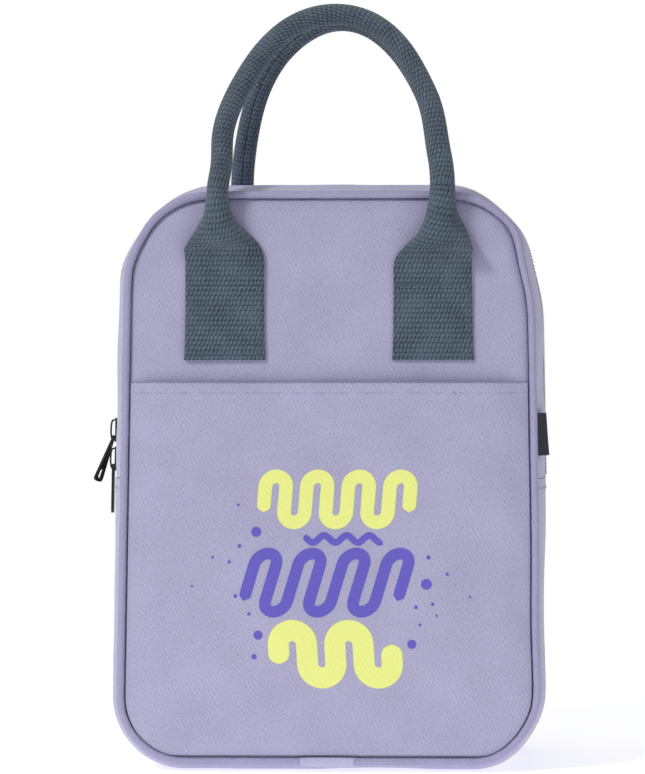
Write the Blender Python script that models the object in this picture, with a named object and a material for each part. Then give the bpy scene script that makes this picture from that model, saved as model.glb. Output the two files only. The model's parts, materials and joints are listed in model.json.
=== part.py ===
"""Insulated lunch bag: padded canvas shell, zip-round front flap, patch pocket, two webbing handles.

The bag stands on its base with its front facing -Y. The seam line is the rounded outline where the front
panel meets the gusset. Every strip of the gusset, the zip, the piping and the binding is one cross-section
carried along that line, so a point is given by o, its distance outside the line, and y, its depth.
"""
import math

import bmesh
import bpy
from mathutils import Matrix, Vector

# ---- driving dimensions, in metres ----
BASE_HALF = 0.0996          # half width of the seam line at its foot
TOP_HALF = 0.0950           # half width at its head
SEAM_FOOT = 0.0070          # height of the seam line's foot above the table
SEAM_HEAD = 0.2770          # height of its head
FOOT_RADIUS = 0.029
HEAD_RADIUS = 0.037
HALF_DEPTH = 0.0625         # front face of the front panel
FOLD_Z = 0.1415             # height of the zip's ends, where the front folds
SPLIT = 0.00015             # half the gap between the folding half and the fixed half
GAP = 0.0003                # clearance between neighbouring layers

CANVAS = 0.0010
FOAM = 0.0040
LINING = 0.0008

BULGE = 0.0080              # how far a gusset strip swells outside the seam line
SEAM_START = 0.0010         # where a gusset strip starts at the seam
VALLEY = 0.0092             # height of the strip's edge beside the zip
BULGE_Y = 0.035             # depth at which a strip swells most
CORNER_SLACK = 0.42         # share of its swell that a strip loses round the head corners
SEAM_Y = 0.0600             # depth at which a strip starts
ZIP_EDGE_Y = 0.0056         # depth at which a strip ends beside the zip

PIPING_RADIUS = 0.0018
PIPING_O = 0.0019
PIPING_Y = 0.0622

TAPE_O = (0.0072, 0.0077)
TAPE_Y = (0.0006, 0.0120)
COIL_O = (0.0080, 0.0102)
COIL_Y = (0.0006, 0.0034)

SLIDER_LENGTH = 0.0120
LOWER_SLIDER_Z = 0.1500
UPPER_SLIDER_Z = 0.1643
PULL_LENGTH = 0.0245
PULL_WIDTH = 0.0060
PULL_THICKNESS = 0.0012
UPPER_PULL_SWING = math.radians(19.5)

POCKET_TOP = 0.1880
POCKET_GAPE = 0.0047        # room left between panel and pocket

WEBBING_WIDTH = 0.038
WEBBING_THICKNESS = 0.0022
HANDLE_SPACING = 0.0502     # half the distance between the two flat ends
TAB_FOOT = 0.1990
TAB_HEAD = 0.2520
TUBE_RADIUS = 0.0060
ARCH_HALF = 0.0540
ARCH_BASE = 0.2840
ARCH_RISE = 0.0847
ARCH_PINCH = 0.06           # how far the front arch's shoulders draw in
BACK_ARCH_HALF = 0.0500     # the back handle is a little narrower and taller
BACK_ARCH_RISE = 0.0892
ARCH_LEAN = math.radians(22)
LEG_Y = 0.0705              # depth of the tube where it passes the top edge

LABEL_Z = (0.1527, 0.1734)
LABEL_Y = (0.0598, 0.0460)
PATCH_X = (-0.0140, 0.0120)


def clear_scene():
    for obj in list(bpy.data.objects):
        bpy.data.objects.remove(obj, do_unlink=True)


# ---- materials ----
def linear(channel):
    return channel / 12.92 if channel <= 0.04045 else ((channel + 0.055) / 1.055) ** 2.4


def material(name, colour, roughness, metallic=0.0):
    """A plain finish from an sRGB hex colour."""
    mat = bpy.data.materials.new(name)
    mat.use_nodes = True
    shader = mat.node_tree.nodes["Principled BSDF"]
    rgb = [linear(int(colour[i:i + 2], 16) / 255) for i in (0, 2, 4)]
    shader.inputs["Base Color"].default_value = (*rgb, 1.0)
    shader.inputs["Roughness"].default_value = roughness
    shader.inputs["Metallic"].default_value = metallic
    return mat


# ---- the seam line ----
def seam_corner(centre_x, centre_z, radius, start, turn, steps):
    """Points and outward normals on one rounded corner, both ends included."""
    ring = []
    for i in range(steps + 1):
        angle = start - turn * i / steps
        normal = Vector((math.cos(angle), 0, math.sin(angle)))
        ring.append((Vector((centre_x, 0, centre_z)) + normal * radius, normal))
    return ring


def side_tilt():
    """Lean of the side lines from upright: the bag narrows a little towards its head."""
    return math.atan2(BASE_HALF - TOP_HALF, SEAM_HEAD - SEAM_FOOT)


def side_half(z):
    """Half width between the straight side lines at height z."""
    return BASE_HALF - (z - SEAM_FOOT) * math.tan(side_tilt())


def side_point(side, z):
    """Point and outward normal on the straight part of a side, -1 left and +1 right."""
    tilt = side_tilt()
    return Vector((side * side_half(z), 0, z)), Vector((side * math.cos(tilt), 0, math.sin(tilt)))


def corner_centre(head):
    """Centre of a right-hand corner arc: one radius inside both of its lines."""
    radius = HEAD_RADIUS if head else FOOT_RADIUS
    tilt = side_tilt()
    z = SEAM_HEAD - radius if head else SEAM_FOOT + radius
    x = side_half(z) - radius / math.cos(tilt)
    return x, z, radius


def between(a, b, steps):
    """Points strictly between two seam points that share a straight stretch."""
    return [(a[0].lerp(b[0], i / steps), a[1].copy()) for i in range(1, steps)]


def upper_seam(corner_steps=6, side_steps=3, flat_steps=4):
    """The seam line from the left fold over the head to the right fold."""
    x, z, radius = corner_centre(True)
    tilt = side_tilt()
    quarter = math.pi / 2
    left = seam_corner(-x, z, radius, math.pi - tilt, quarter - tilt, corner_steps)
    right = seam_corner(x, z, radius, quarter, quarter - tilt, corner_steps)
    start = side_point(-1, FOLD_Z + SPLIT)
    end = side_point(1, FOLD_Z + SPLIT)
    line = [start] + between(start, left[0], side_steps) + left
    line += between(left[-1], right[0], flat_steps) + right
    return line + between(right[-1], end, side_steps) + [end]


def lower_seam(corner_steps=6, side_steps=3, flat_steps=4):
    """The seam line from the right fold round the foot to the left fold."""
    x, z, radius = corner_centre(False)
    tilt = side_tilt()
    quarter = math.pi / 2
    right = seam_corner(x, z, radius, tilt, quarter + tilt, corner_steps)
    left = seam_corner(-x, z, radius, -quarter, quarter + tilt, corner_steps)
    start = side_point(1, FOLD_Z - SPLIT)
    end = side_point(-1, FOLD_Z - SPLIT)
    line = [start] + between(start, right[0], side_steps) + right
    line += between(right[-1], left[0], flat_steps) + left
    return line + between(left[-1], end, side_steps) + [end]


UPPER = upper_seam()
LOWER = lower_seam()
WHOLE = upper_seam()[:-1] + lower_seam()[:-1]


# ---- mesh helpers ----
def finish_mesh(bm, name, mat, smooth=True):
    """Turn a bmesh into a named object with outward faces."""
    bmesh.ops.recalc_face_normals(bm, faces=bm.faces)
    mesh = bpy.data.meshes.new(name)
    bm.to_mesh(mesh)
    bm.free()
    mesh.materials.append(mat)
    if smooth:
        mesh.shade_smooth()
        mesh.set_sharp_from_angle(angle=math.radians(35))
    obj = bpy.data.objects.new(name, mesh)
    bpy.context.scene.collection.objects.link(obj)
    return obj


def bridge_rings(bm, rings, closed):
    """Skin a list of equal rings of vertices, with flat ends unless the run is closed.

    Each cell is cut along the diagonal from its shallower corner on the first ring, so that layers with
    the same stations are cut alike and stay the same distance apart.
    """
    count = len(rings[0])
    spans = list(zip(rings, rings[1:]))
    if closed:
        spans.append((rings[-1], rings[0]))
    for first, second in spans:
        for j in range(count):
            k = (j + 1) % count
            if first[j].co.y > first[k].co.y:
                j, k = k, j
            bm.faces.new((first[j], first[k], second[k]))
            bm.faces.new((first[j], second[k], second[j]))
    if not closed:
        bm.faces.new(rings[0])
        bm.faces.new(rings[-1])


def carry(name, line, section, mat, closed=False):
    """Carry a cross-section along the seam line. section(i) gives (o, y) pairs at point i."""
    bm = bmesh.new()
    rings = []
    for i, (point, normal) in enumerate(line):
        rings.append([bm.verts.new(point + normal * o + Vector((0, y, 0))) for o, y in section(i)])
    bridge_rings(bm, rings, closed)
    return finish_mesh(bm, name, mat)


def prism(bm, outline, low, high, place):
    """Extrude a flat outline of (u, v) points from w = low to w = high."""
    first = [bm.verts.new(place(u, v, low)) for u, v in outline]
    second = [bm.verts.new(place(u, v, high)) for u, v in outline]
    bridge_rings(bm, [first, second], False)


def plate(name, line, inset, near, far, mat):
    """A flat panel inside the seam line, between two depths."""
    bm = bmesh.new()
    outline = [(p.x - n.x * inset, p.z - n.z * inset) for p, n in line]
    prism(bm, outline, near, far, lambda x, z, y: (x, y, z))
    return finish_mesh(bm, name, mat)


def rounded_box(u0, u1, v0, v1, radius, steps=3):
    """Outline of a rectangle with rounded corners."""
    corners = ((u1 - radius, v1 - radius), (u0 + radius, v1 - radius),
               (u0 + radius, v0 + radius), (u1 - radius, v0 + radius))
    outline = []
    for k, (cu, cv) in enumerate(corners):
        for i in range(steps + 1):
            angle = math.pi / 2 * (k + i / steps)
            outline.append((cu + radius * math.cos(angle), cv + radius * math.sin(angle)))
    return outline


def cutter(bm, name):
    """A helper solid that a Boolean reads and that isn't a piece of the bag."""
    bmesh.ops.recalc_face_normals(bm, faces=bm.faces)
    mesh = bpy.data.meshes.new(name)
    bm.to_mesh(mesh)
    bm.free()
    obj = bpy.data.objects.new(name, mesh)
    bpy.context.scene.collection.objects.link(obj)
    obj.hide_render = True
    obj.display_type = "WIRE"
    return obj


def combine(obj, helper, operation):
    mod = obj.modifiers.new(operation.lower(), "BOOLEAN")
    mod.operation = operation
    mod.object = helper
    mod.solver = "EXACT"


def axis_empty(name, location):
    empty = bpy.data.objects.new(name, None)
    empty.location = location
    bpy.context.scene.collection.objects.link(empty)
    bpy.context.view_layer.update()
    return empty


def hang_on(empty, *pieces):
    """Parent pieces to the empty on their joint's axis without moving them."""
    for piece in pieces:
        piece.parent = empty
        piece.matrix_parent_inverse = empty.matrix_world.inverted()


# ---- gusset cross-sections ----
def strip_height(y):
    """Outer height of a gusset strip at depth |y|: rises from the seam, falls to the zip."""
    depth = abs(y)
    if depth > BULGE_Y:
        rise = (SEAM_Y - depth) / (SEAM_Y - BULGE_Y)
        return SEAM_START + (BULGE - SEAM_START) * math.sin(math.pi / 2 * rise)
    fall = min((BULGE_Y - depth) / (BULGE_Y - ZIP_EDGE_Y), 1.0)
    return VALLEY + (BULGE - VALLEY) * math.cos(math.pi / 2 * fall)


def base_height(y, flatness):
    """Outer height of the base gusset: like the strips at the fold, flat under the bag."""
    edge = min((SEAM_Y - abs(y)) / 0.012, 1.0)
    flat = SEAM_START + (SEAM_FOOT - SEAM_START) * math.sqrt(1 - (1 - edge) ** 2)
    return strip_height(y) * (1 - flatness) + flat * flatness


def layer(heights, depths, top, bottom):
    """Closed section of one layer: its outer face, then its inner face back again."""
    outer = [(height - top, y) for height, y in zip(heights, depths)]
    inner = [(height - bottom, y) for height, y in zip(heights, depths)]
    return outer + inner[::-1]


def corner_share(normal):
    """Share of its swell that an upper strip keeps: less round the head corners, all of it elsewhere."""
    return 1 - CORNER_SLACK * (2 * normal.x * normal.z) ** 2


def upper_sections(i, section):
    """A zip section at point i of the upper seam, lowered as the strip's zip edge is lowered."""
    drop = (VALLEY - SEAM_START) * (1 - corner_share(UPPER[i][1]))
    return [(o - drop, y) for o, y in section]


LAYERS = {
    "canvas": (0.0, CANVAS),
    "foam": (CANVAS + GAP, CANVAS + GAP + FOAM),
    "lining": (CANVAS + FOAM + 2 * GAP, CANVAS + FOAM + 2 * GAP + LINING),
}
STACK = CANVAS + FOAM + LINING + 2 * GAP


INNER_SEAM_Y = HALF_DEPTH - STACK - GAP      # where the padding starts behind the panels
FOAM_END_Y = 0.0130                          # where it stops beside the zip
DEPTHS = (SEAM_Y, INNER_SEAM_Y, 0.051, 0.044, BULGE_Y, 0.024, FOAM_END_Y, ZIP_EDGE_Y)


def strip_depths(kind, side):
    """Depths at which an upper strip's section has points, from the seam to the zip."""
    spread = DEPTHS if kind == "canvas" else DEPTHS[1:-1]
    return [side * y for y in spread]


def gusset_strip(name, kind, side, mat):
    """One upper gusset layer, front (side -1) or back (side +1)."""
    depths = strip_depths(kind, side)

    def section(i):
        share = corner_share(UPPER[i][1])
        heights = [SEAM_START + (strip_height(y) - SEAM_START) * share for y in depths]
        return layer(heights, depths, *LAYERS[kind])

    return carry(name, UPPER, section, mat)


def zip_strip(name, section, mat):
    return carry(name, UPPER, lambda i: upper_sections(i, section), mat)


def foot_flatness(i):
    """0 at the folds, 1 from the start of the foot corners on."""
    point = LOWER[i][0]
    level = (FOLD_Z - point.z) / (FOLD_Z - SEAM_FOOT - FOOT_RADIUS)
    level = max(0.0, min(1.0, level))
    return level * level * (3 - 2 * level)


def base_gusset(name, kind, mat):
    """One layer of the wide gusset under the bag and up its lower sides."""
    half = [-y for y in (DEPTHS if kind == "canvas" else DEPTHS[1:])]
    depths = half + [0.0] + [-y for y in half[::-1]]

    def section(i):
        heights = [base_height(y, foot_flatness(i)) for y in depths]
        return layer(heights, depths, *LAYERS[kind])

    return carry(name, LOWER, section, mat)


def ring_section(o, y, radius, sides=6):
    return [(o + radius * math.cos(2 * math.pi * k / sides),
             y + radius * math.sin(2 * math.pi * k / sides)) for k in range(sides)]


def box_section(o_range, y_range):
    (o0, o1), (y0, y1) = o_range, y_range
    return [(o0, y0), (o1, y0), (o1, y1), (o0, y1)]


def seam_strip(name, line, section, mat, closed=False):
    return carry(name, line, lambda i: section, mat, closed)


# ---- pocket ----
def seam_half_width(z):
    """Half width of the seam line at any height below the head corners."""
    x, centre, radius = corner_centre(False)
    if z >= centre:
        return side_half(z)
    return x + math.sqrt(max(radius ** 2 - (centre - z) ** 2, 0.0))


def ease(t):
    t = max(0.0, min(1.0, t))
    return t * t * (3 - 2 * t)


def pocket_sheet(name, rows, mat):
    """The pocket's canvas: flat to the panel at its sewn edges, standing off it at the mouth."""
    columns = (-1.0, -0.93, -0.85, -0.5, 0.0, 0.5, 0.85, 0.93, 1.0)
    side_run = 0.015
    foot_run = 0.070
    bm = bmesh.new()
    faces = []
    for thickness in (0.0, CANVAS):
        grid = []
        for z in rows:
            half = seam_half_width(z) - 0.0008
            row = []
            for u in columns:
                room = ease((1 - abs(u)) * half / side_run) * ease((z - SEAM_FOOT) / foot_run)
                y = -HALF_DEPTH - GAP - (POCKET_GAPE - GAP) * room - thickness
                row.append(bm.verts.new((u * half, y, z)))
            grid.append(row)
        faces.append(grid)
        for low, high in zip(grid, grid[1:]):
            for j in range(len(columns) - 1):
                bm.faces.new((low[j], low[j + 1], high[j + 1], high[j]))
    back, front = faces
    rims = [(back[0], front[0]), (back[-1], front[-1]),
            ([r[0] for r in back], [r[0] for r in front]),
            ([r[-1] for r in back], [r[-1] for r in front])]
    for near, far in rims:
        for j in range(len(near) - 1):
            bm.faces.new((near[j], near[j + 1], far[j + 1], far[j]))
    return finish_mesh(bm, name, mat)


def pocket_rows_low():
    """Heights of the fixed half's rows: close together round the foot corners."""
    start = SEAM_FOOT + 0.0008
    arc = [start + FOOT_RADIUS * (1 - math.cos(math.radians(a))) for a in (0, 22, 40, 58, 75)]
    return arc + [0.040, 0.058, 0.080, 0.110, FOLD_Z - SPLIT]


# ---- handles ----
def handle_path(side):
    """Centre, half width and half thickness of one handle, from its left leg to its right.

    A leg rises from the flat end, moves clear of the piping and rolls up into a tube; the arch is half
    an ellipse that leans towards the middle of the bag.
    """
    leg = []
    leg_steps = 5
    arch_half = ARCH_HALF if side < 0 else BACK_ARCH_HALF
    arch_rise = ARCH_RISE if side < 0 else BACK_ARCH_RISE
    pinch = ARCH_PINCH if side < 0 else 0.0
    start = TAB_HEAD + GAP
    flat_y = HALF_DEPTH + GAP + WEBBING_THICKNESS / 2
    for i in range(leg_steps):
        t = i / leg_steps
        roll = ease(t * 1.1)
        z = start + (ARCH_BASE - start) * t
        x = HANDLE_SPACING + (arch_half - HANDLE_SPACING) * t
        y = flat_y + (LEG_Y - flat_y) * ease(t * 1.35)
        wide = WEBBING_WIDTH / 2 + (TUBE_RADIUS - WEBBING_WIDTH / 2) * roll
        thick = WEBBING_THICKNESS / 2 + (TUBE_RADIUS - WEBBING_THICKNESS / 2) * roll
        leg.append((x, y, z, wide, thick))
    path = [(-x, y, z, wide, thick) for x, y, z, wide, thick in leg]
    arch_steps = 16
    for i in range(arch_steps + 1):
        angle = math.pi * i / arch_steps
        rise = arch_rise * math.sin(angle)
        y = LEG_Y - rise * math.tan(ARCH_LEAN)
        x = -arch_half * math.cos(angle) * (1 - pinch * math.sin(2 * angle) ** 2)
        path.append((x, y, ARCH_BASE + rise, TUBE_RADIUS, TUBE_RADIUS))
    return path + leg[::-1]


def handle_loop(name, side, mat):
    """The free part of a handle, an eight-sided tube that flattens to webbing at both ends."""
    sides = 8
    path = handle_path(side)
    centres = [Vector((x, side * y, z)) for x, y, z, wide, thick in path]
    bm = bmesh.new()
    rings = []
    for i, (x, y, z, wide, thick) in enumerate(path):
        ahead = centres[min(i + 1, len(path) - 1)] - centres[max(i - 1, 0)]
        if i in (0, len(path) - 1):
            ahead = Vector((0, 0, 1 if i == 0 else -1))
        tangent = ahead.normalized()
        outward = tangent.cross(Vector((0, side, 0))).normalized()
        face = outward.cross(tangent).normalized()
        ring = []
        for k in range(sides):
            angle = 2 * math.pi * (k + 0.5) / sides
            flat = thick < TUBE_RADIUS * 0.6
            reach = 1.08 if flat else 1.0
            across = max(-wide, min(wide, reach * wide * math.cos(angle)))
            through = max(-thick, min(thick, reach * thick * math.sin(angle)))
            ring.append(bm.verts.new(centres[i] + outward * across + face * through))
        rings.append(ring)
    bridge_rings(bm, rings, False)
    return finish_mesh(bm, name, mat)


def handle_tab(name, side, end, mat):
    """A handle's flat sewn end. side is the panel, -1 front; end is -1 left or +1 right."""
    bm = bmesh.new()
    middle = end * HANDLE_SPACING
    outline = rounded_box(middle - WEBBING_WIDTH / 2, middle + WEBBING_WIDTH / 2,
                          TAB_FOOT, TAB_HEAD, 0.0008, 2)
    near = side * (HALF_DEPTH + GAP)
    far = side * (HALF_DEPTH + GAP + WEBBING_THICKNESS)
    prism(bm, outline, near, far, lambda x, z, y: (x, y, z))
    return finish_mesh(bm, name, mat)


# ---- zip sliders and pulls ----
def on_left_zip(z):
    """Placement on the left side line: local X outward, Y to the front, Z up along the zip."""
    point, normal = side_point(-1, z)
    along = normal.cross(Vector((0, -1, 0))).normalized()
    axes = Matrix((normal, Vector((0, -1, 0)), along)).transposed().to_4x4()
    return Matrix.Translation(point) @ axes


def slider(name, z, mat):
    """Two plates joined by a thin wedge that runs between the coils, with a crown for the pull."""
    plate_half = 0.0044
    wedge_half = 0.0003
    inner_plate = (0.0059, 0.0069)
    outer_plate = (0.0105, 0.0115)
    half = SLIDER_LENGTH / 2
    (i0, i1), (o0, o1) = inner_plate, outer_plate
    beam = [(i0, -plate_half), (i1, -plate_half), (i1, -wedge_half), (o0, -wedge_half),
            (o0, -plate_half), (o1, -plate_half), (o1, plate_half), (o0, plate_half),
            (o0, wedge_half), (i1, wedge_half), (i1, plate_half), (i0, plate_half)]
    bm = bmesh.new()
    prism(bm, beam, -half, half, lambda o, y, w: (o, y, w))
    body = finish_mesh(bm, name, mat)

    crown_half = 0.0009
    rise = 0.00275
    wire = 0.0008
    squareness = 0.4
    arch_half = 0.0056
    steps = 8
    outer = []
    inner = []
    for i in range(steps + 1):
        angle = math.pi * i / steps
        lift = abs(math.sin(angle)) ** squareness
        outer.append((o1 + rise * lift, arch_half * math.cos(angle)))
        inner.append((o1 + (rise - wire) * lift, (arch_half - wire) * math.cos(angle)))
    sink = 0.0003
    crown = [(o1 - sink, arch_half)] + outer + [(o1 - sink, -arch_half)]
    crown += [(o1 - sink, -arch_half + wire)] + inner[::-1] + [(o1 - sink, arch_half - wire)]
    bm = bmesh.new()
    prism(bm, crown, -crown_half, crown_half, lambda o, w, y: (o, y, w))
    helper = cutter(bm, name + "_crown")
    combine(body, helper, "UNION")
    for obj in (body, helper):
        obj.matrix_world = on_left_zip(z)
    return body


PIVOT_O = 0.01235           # height of a pull's bar under the crown
PIVOT_DROP = 0.0032         # how far below the slider's middle the bar hangs


def pull_pivot(z):
    return on_left_zip(z) @ Vector((PIVOT_O, 0, -PIVOT_DROP))


def pull_tab(name, z, swing, mat):
    """A flat pull with an eye round the crown and a slot near its tip, hanging from its bar."""
    bar = 0.0005
    bm = bmesh.new()
    outline = rounded_box(-PULL_WIDTH / 2, PULL_WIDTH / 2, bar - PULL_LENGTH, bar, 0.0018)
    prism(bm, outline, -PULL_THICKNESS / 2, PULL_THICKNESS / 2, lambda y, w, o: (o, y, w))
    tab = finish_mesh(bm, name, mat)
    holes = {"eye": rounded_box(-0.0016, 0.0016, -0.0042, -bar, 0.0004, 2),
             "slot": rounded_box(-0.0013, 0.0013, -0.0225, -0.0175, 0.0012, 3)}
    place = on_left_zip(z) @ Matrix.Translation((PIVOT_O, 0, -PIVOT_DROP))
    place = place @ Matrix.Rotation(-swing, 4, "Y")
    tab.matrix_world = place
    for label, hole in holes.items():
        bm = bmesh.new()
        prism(bm, hole, -PULL_THICKNESS, PULL_THICKNESS, lambda y, w, o: (o, y, w))
        helper = cutter(bm, name + "_" + label)
        helper.matrix_world = place
        combine(tab, helper, "DIFFERENCE")
    return tab


# ---- assembly ----
def build_back(canvas, piping, foam, foil, tape, coil, binding):
    """Everything that stays still: the back, the base gusset and the back half of the zip."""
    face = HALF_DEPTH
    step = CANVAS + GAP
    plate("back_panel", WHOLE, 0.0003, face - CANVAS, face, canvas)
    plate("back_foam", WHOLE, 0.0008, face - step - FOAM, face - step, foam)
    plate("back_lining", WHOLE, 0.0008, face - STACK, face - STACK + LINING, foil)
    gusset_strip("back_gusset_strip", "canvas", 1, canvas)
    gusset_strip("back_gusset_foam", "foam", 1, foam)
    gusset_strip("back_gusset_lining", "lining", 1, foil)
    base_gusset("base_gusset", "canvas", canvas)
    base_gusset("base_gusset_foam", "foam", foam)
    base_gusset("base_gusset_lining", "lining", foil)
    seam_strip("back_piping", WHOLE, ring_section(PIPING_O, PIPING_Y, PIPING_RADIUS), piping, True)
    zip_strip("back_zip_tape", box_section(TAPE_O, TAPE_Y), tape)
    zip_strip("back_zip_coil", box_section(COIL_O, COIL_Y), coil)
    seam_strip("back_binding", WHOLE, binding_section(1), binding, True)


def binding_section(side):
    """The tape over the inner seam, a small square run in the corner of the lining."""
    return box_section((-0.0083, -0.0053), sorted((side * INNER_SEAM_Y, side * (INNER_SEAM_Y - 0.0030))))


def build_front_half(half, line, canvas, piping, foam, foil, binding):
    """The front panel's layers, piping and binding on one side of the fold."""
    face = -HALF_DEPTH
    step = CANVAS + GAP
    return [
        plate("front_panel_" + half, line, 0.0003, face, face + CANVAS, canvas),
        plate("front_foam_" + half, line, 0.0008, face + step, face + step + FOAM, foam),
        plate("front_lining_" + half, line, 0.0008, face + STACK - LINING, face + STACK, foil),
        seam_strip("front_piping_" + half, line, ring_section(PIPING_O, -PIPING_Y, PIPING_RADIUS), piping),
        seam_strip("front_binding_" + half, line, binding_section(-1), binding),
    ]


def piping_patch(mat):
    """The sleeve over the piping's join: an open half tube in front of the cord."""
    inner = PIPING_RADIUS + GAP
    outer = inner + 0.0006
    steps = 6
    arc = [math.radians(50 - 150 * i / steps) for i in range(steps + 1)]
    centre_z = SEAM_FOOT - PIPING_O
    outline = [(-PIPING_Y - outer * math.cos(a), centre_z + outer * math.sin(a)) for a in arc]
    outline += [(-PIPING_Y - inner * math.cos(a), centre_z + inner * math.sin(a)) for a in arc[::-1]]
    bm = bmesh.new()
    prism(bm, outline, *PATCH_X, lambda y, z, x: (x, y, z))
    return finish_mesh(bm, "piping_join_patch", mat)


def side_label(mat):
    """A woven label caught in the right-hand seam, lying on the gusset."""
    lift = 0.00035
    thick = 0.0006
    steps = 5
    depths = [-(LABEL_Y[0] + (LABEL_Y[1] - LABEL_Y[0]) * i / steps) for i in range(steps + 1)]
    heights = [strip_height(y) + lift + thick for y in depths]
    section = layer(heights, depths, 0.0, thick)
    line = [side_point(1, z) for z in LABEL_Z]
    return seam_strip("side_label", line, section, mat)


def main():
    clear_scene()
    canvas = material("cotton canvas", "AFACC8", 0.9)
    piping = material("bias piping", "A29FBE", 0.9)
    webbing = material("cotton webbing", "4E6075", 0.92)
    foam = material("closed-cell foam", "E4E5E2", 0.85)
    foil = material("foil lining", "C9CCD0", 0.35, 0.6)
    tape = material("zip tape", "8D8AAE", 0.85)
    coil = material("nylon coil", "85829F", 0.45)
    metal = material("gunmetal", "3A3A3C", 0.35, 0.9)
    binding = material("binding tape", "DADADA", 0.8)
    label = material("woven label", "2A2E3A", 0.8)

    build_back(canvas, piping, foam, foil, tape, coil, binding)
    build_front_half("base", LOWER, canvas, piping, foam, foil, binding)
    pocket_sheet("pocket_base", pocket_rows_low(), canvas)
    piping_patch(piping)

    flap_axis = axis_empty("flap_axis", (0, -HALF_DEPTH - 0.0063, FOLD_Z))
    flap = build_front_half("flap", UPPER, canvas, piping, foam, foil, binding)
    flap.append(pocket_sheet("pocket_flap", (FOLD_Z + SPLIT, 0.157, 0.173, POCKET_TOP), canvas))
    flap.append(gusset_strip("front_gusset_strip", "canvas", -1, canvas))
    flap.append(gusset_strip("front_gusset_foam", "foam", -1, foam))
    flap.append(gusset_strip("front_gusset_lining", "lining", -1, foil))
    front_side = (-TAPE_Y[1], -TAPE_Y[0])
    flap.append(zip_strip("front_zip_tape", box_section(TAPE_O, front_side), tape))
    front_side = (-COIL_Y[1], -COIL_Y[0])
    flap.append(zip_strip("front_zip_coil", box_section(COIL_O, front_side), coil))
    flap.append(side_label(label))
    flap.append(handle_tab("front_handle_left_end", -1, -1, webbing))
    flap.append(handle_tab("front_handle_right_end", -1, 1, webbing))
    hang_on(flap_axis, *flap)

    handle_tab("back_handle_left_end", 1, -1, webbing)
    handle_tab("back_handle_right_end", 1, 1, webbing)
    bend = HALF_DEPTH + WEBBING_THICKNESS + 2 * GAP     # a handle folds about the webbing's outer face
    for word, side in (("front", -1), ("back", 1)):
        axis = axis_empty(word + "_handle_axis", (0, side * bend, TAB_HEAD))
        hang_on(axis, handle_loop(word + "_handle_loop", side, webbing))

    for word, z, swing in (("upper", UPPER_SLIDER_Z, UPPER_PULL_SWING), ("lower", LOWER_SLIDER_Z, 0.0)):
        slider(word + "_slider_body", z, metal)
        axis = axis_empty(word + "_pull_axis", pull_pivot(z))
        hang_on(axis, pull_tab(word + "_pull_tab", z, swing, metal))


main()
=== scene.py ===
"""Finished surfaces, materials and studio for the insulated lunch bag.

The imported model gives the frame. Each piece here is a surface computed with numpy in that frame: the bag
stands on z = 0 with its front facing -Y, and every size is in metres. A gusset, tape, piping or binding is a
cross-section (o, y) carried along the seam line, where o is the distance outside the line and y the depth.
"""
import json
import math

import bmesh
import bpy
import numpy as np
from bpy.props import FloatProperty, FloatVectorProperty, IntProperty, PointerProperty
from bpy.types import Operator, Panel, PropertyGroup
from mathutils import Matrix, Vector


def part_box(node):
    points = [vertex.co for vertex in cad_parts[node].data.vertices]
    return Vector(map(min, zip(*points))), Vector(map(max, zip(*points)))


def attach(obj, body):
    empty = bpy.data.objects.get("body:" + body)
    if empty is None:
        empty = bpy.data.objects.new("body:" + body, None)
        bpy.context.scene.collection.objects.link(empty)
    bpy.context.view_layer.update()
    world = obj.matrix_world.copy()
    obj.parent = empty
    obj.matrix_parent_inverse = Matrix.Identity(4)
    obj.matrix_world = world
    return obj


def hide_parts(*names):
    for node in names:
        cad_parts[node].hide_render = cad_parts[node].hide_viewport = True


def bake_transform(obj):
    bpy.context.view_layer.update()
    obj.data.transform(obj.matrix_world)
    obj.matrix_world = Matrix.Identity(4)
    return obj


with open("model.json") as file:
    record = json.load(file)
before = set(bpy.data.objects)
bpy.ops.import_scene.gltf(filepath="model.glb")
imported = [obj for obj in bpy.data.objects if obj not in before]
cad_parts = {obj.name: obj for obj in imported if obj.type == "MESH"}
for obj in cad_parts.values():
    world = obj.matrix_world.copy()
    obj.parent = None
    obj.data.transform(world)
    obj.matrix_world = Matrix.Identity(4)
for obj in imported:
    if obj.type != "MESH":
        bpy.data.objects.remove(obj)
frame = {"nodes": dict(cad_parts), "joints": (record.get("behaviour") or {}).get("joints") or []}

bl_info = {
    "name": "Lunch Bag Surfaces",
    "version": (1, 0, 0),
    "blender": (4, 5, 0),
    "location": "3D View > Sidebar > Lunch Bag",
    "description": "Builds the canvas, webbing, zip and lining of an insulated lunch bag",
    "category": "Object",
}

# How far the zip tape's two faces and its coil's middle stand outside the seam line.
TAPE_INNER = 0.00722
TAPE_OUTER = 0.00768
COIL_MIDDLE = 0.00910
# Length of one band of a wave texture whose scale is 1.
WAVE_LENGTH = 0.31416
# How far the upper pull has turned on its loose ring.
PULL_TURN = math.radians(34.0)


def linear(code):
    """Linear RGB of an sRGB hex colour."""
    values = [int(code[i:i + 2], 16) / 255 for i in (0, 2, 4)]
    return tuple(v / 12.92 if v <= 0.04045 else ((v + 0.055) / 1.055) ** 2.4 for v in values)


def length(name, description, default):
    return FloatProperty(name=name, description=description, default=default, subtype="DISTANCE",
                         unit="LENGTH", precision=5)


def colour(name, description, code):
    return FloatVectorProperty(name=name, description=description, default=linear(code), subtype="COLOR",
                               size=3, min=0.0, max=1.0)


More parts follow.
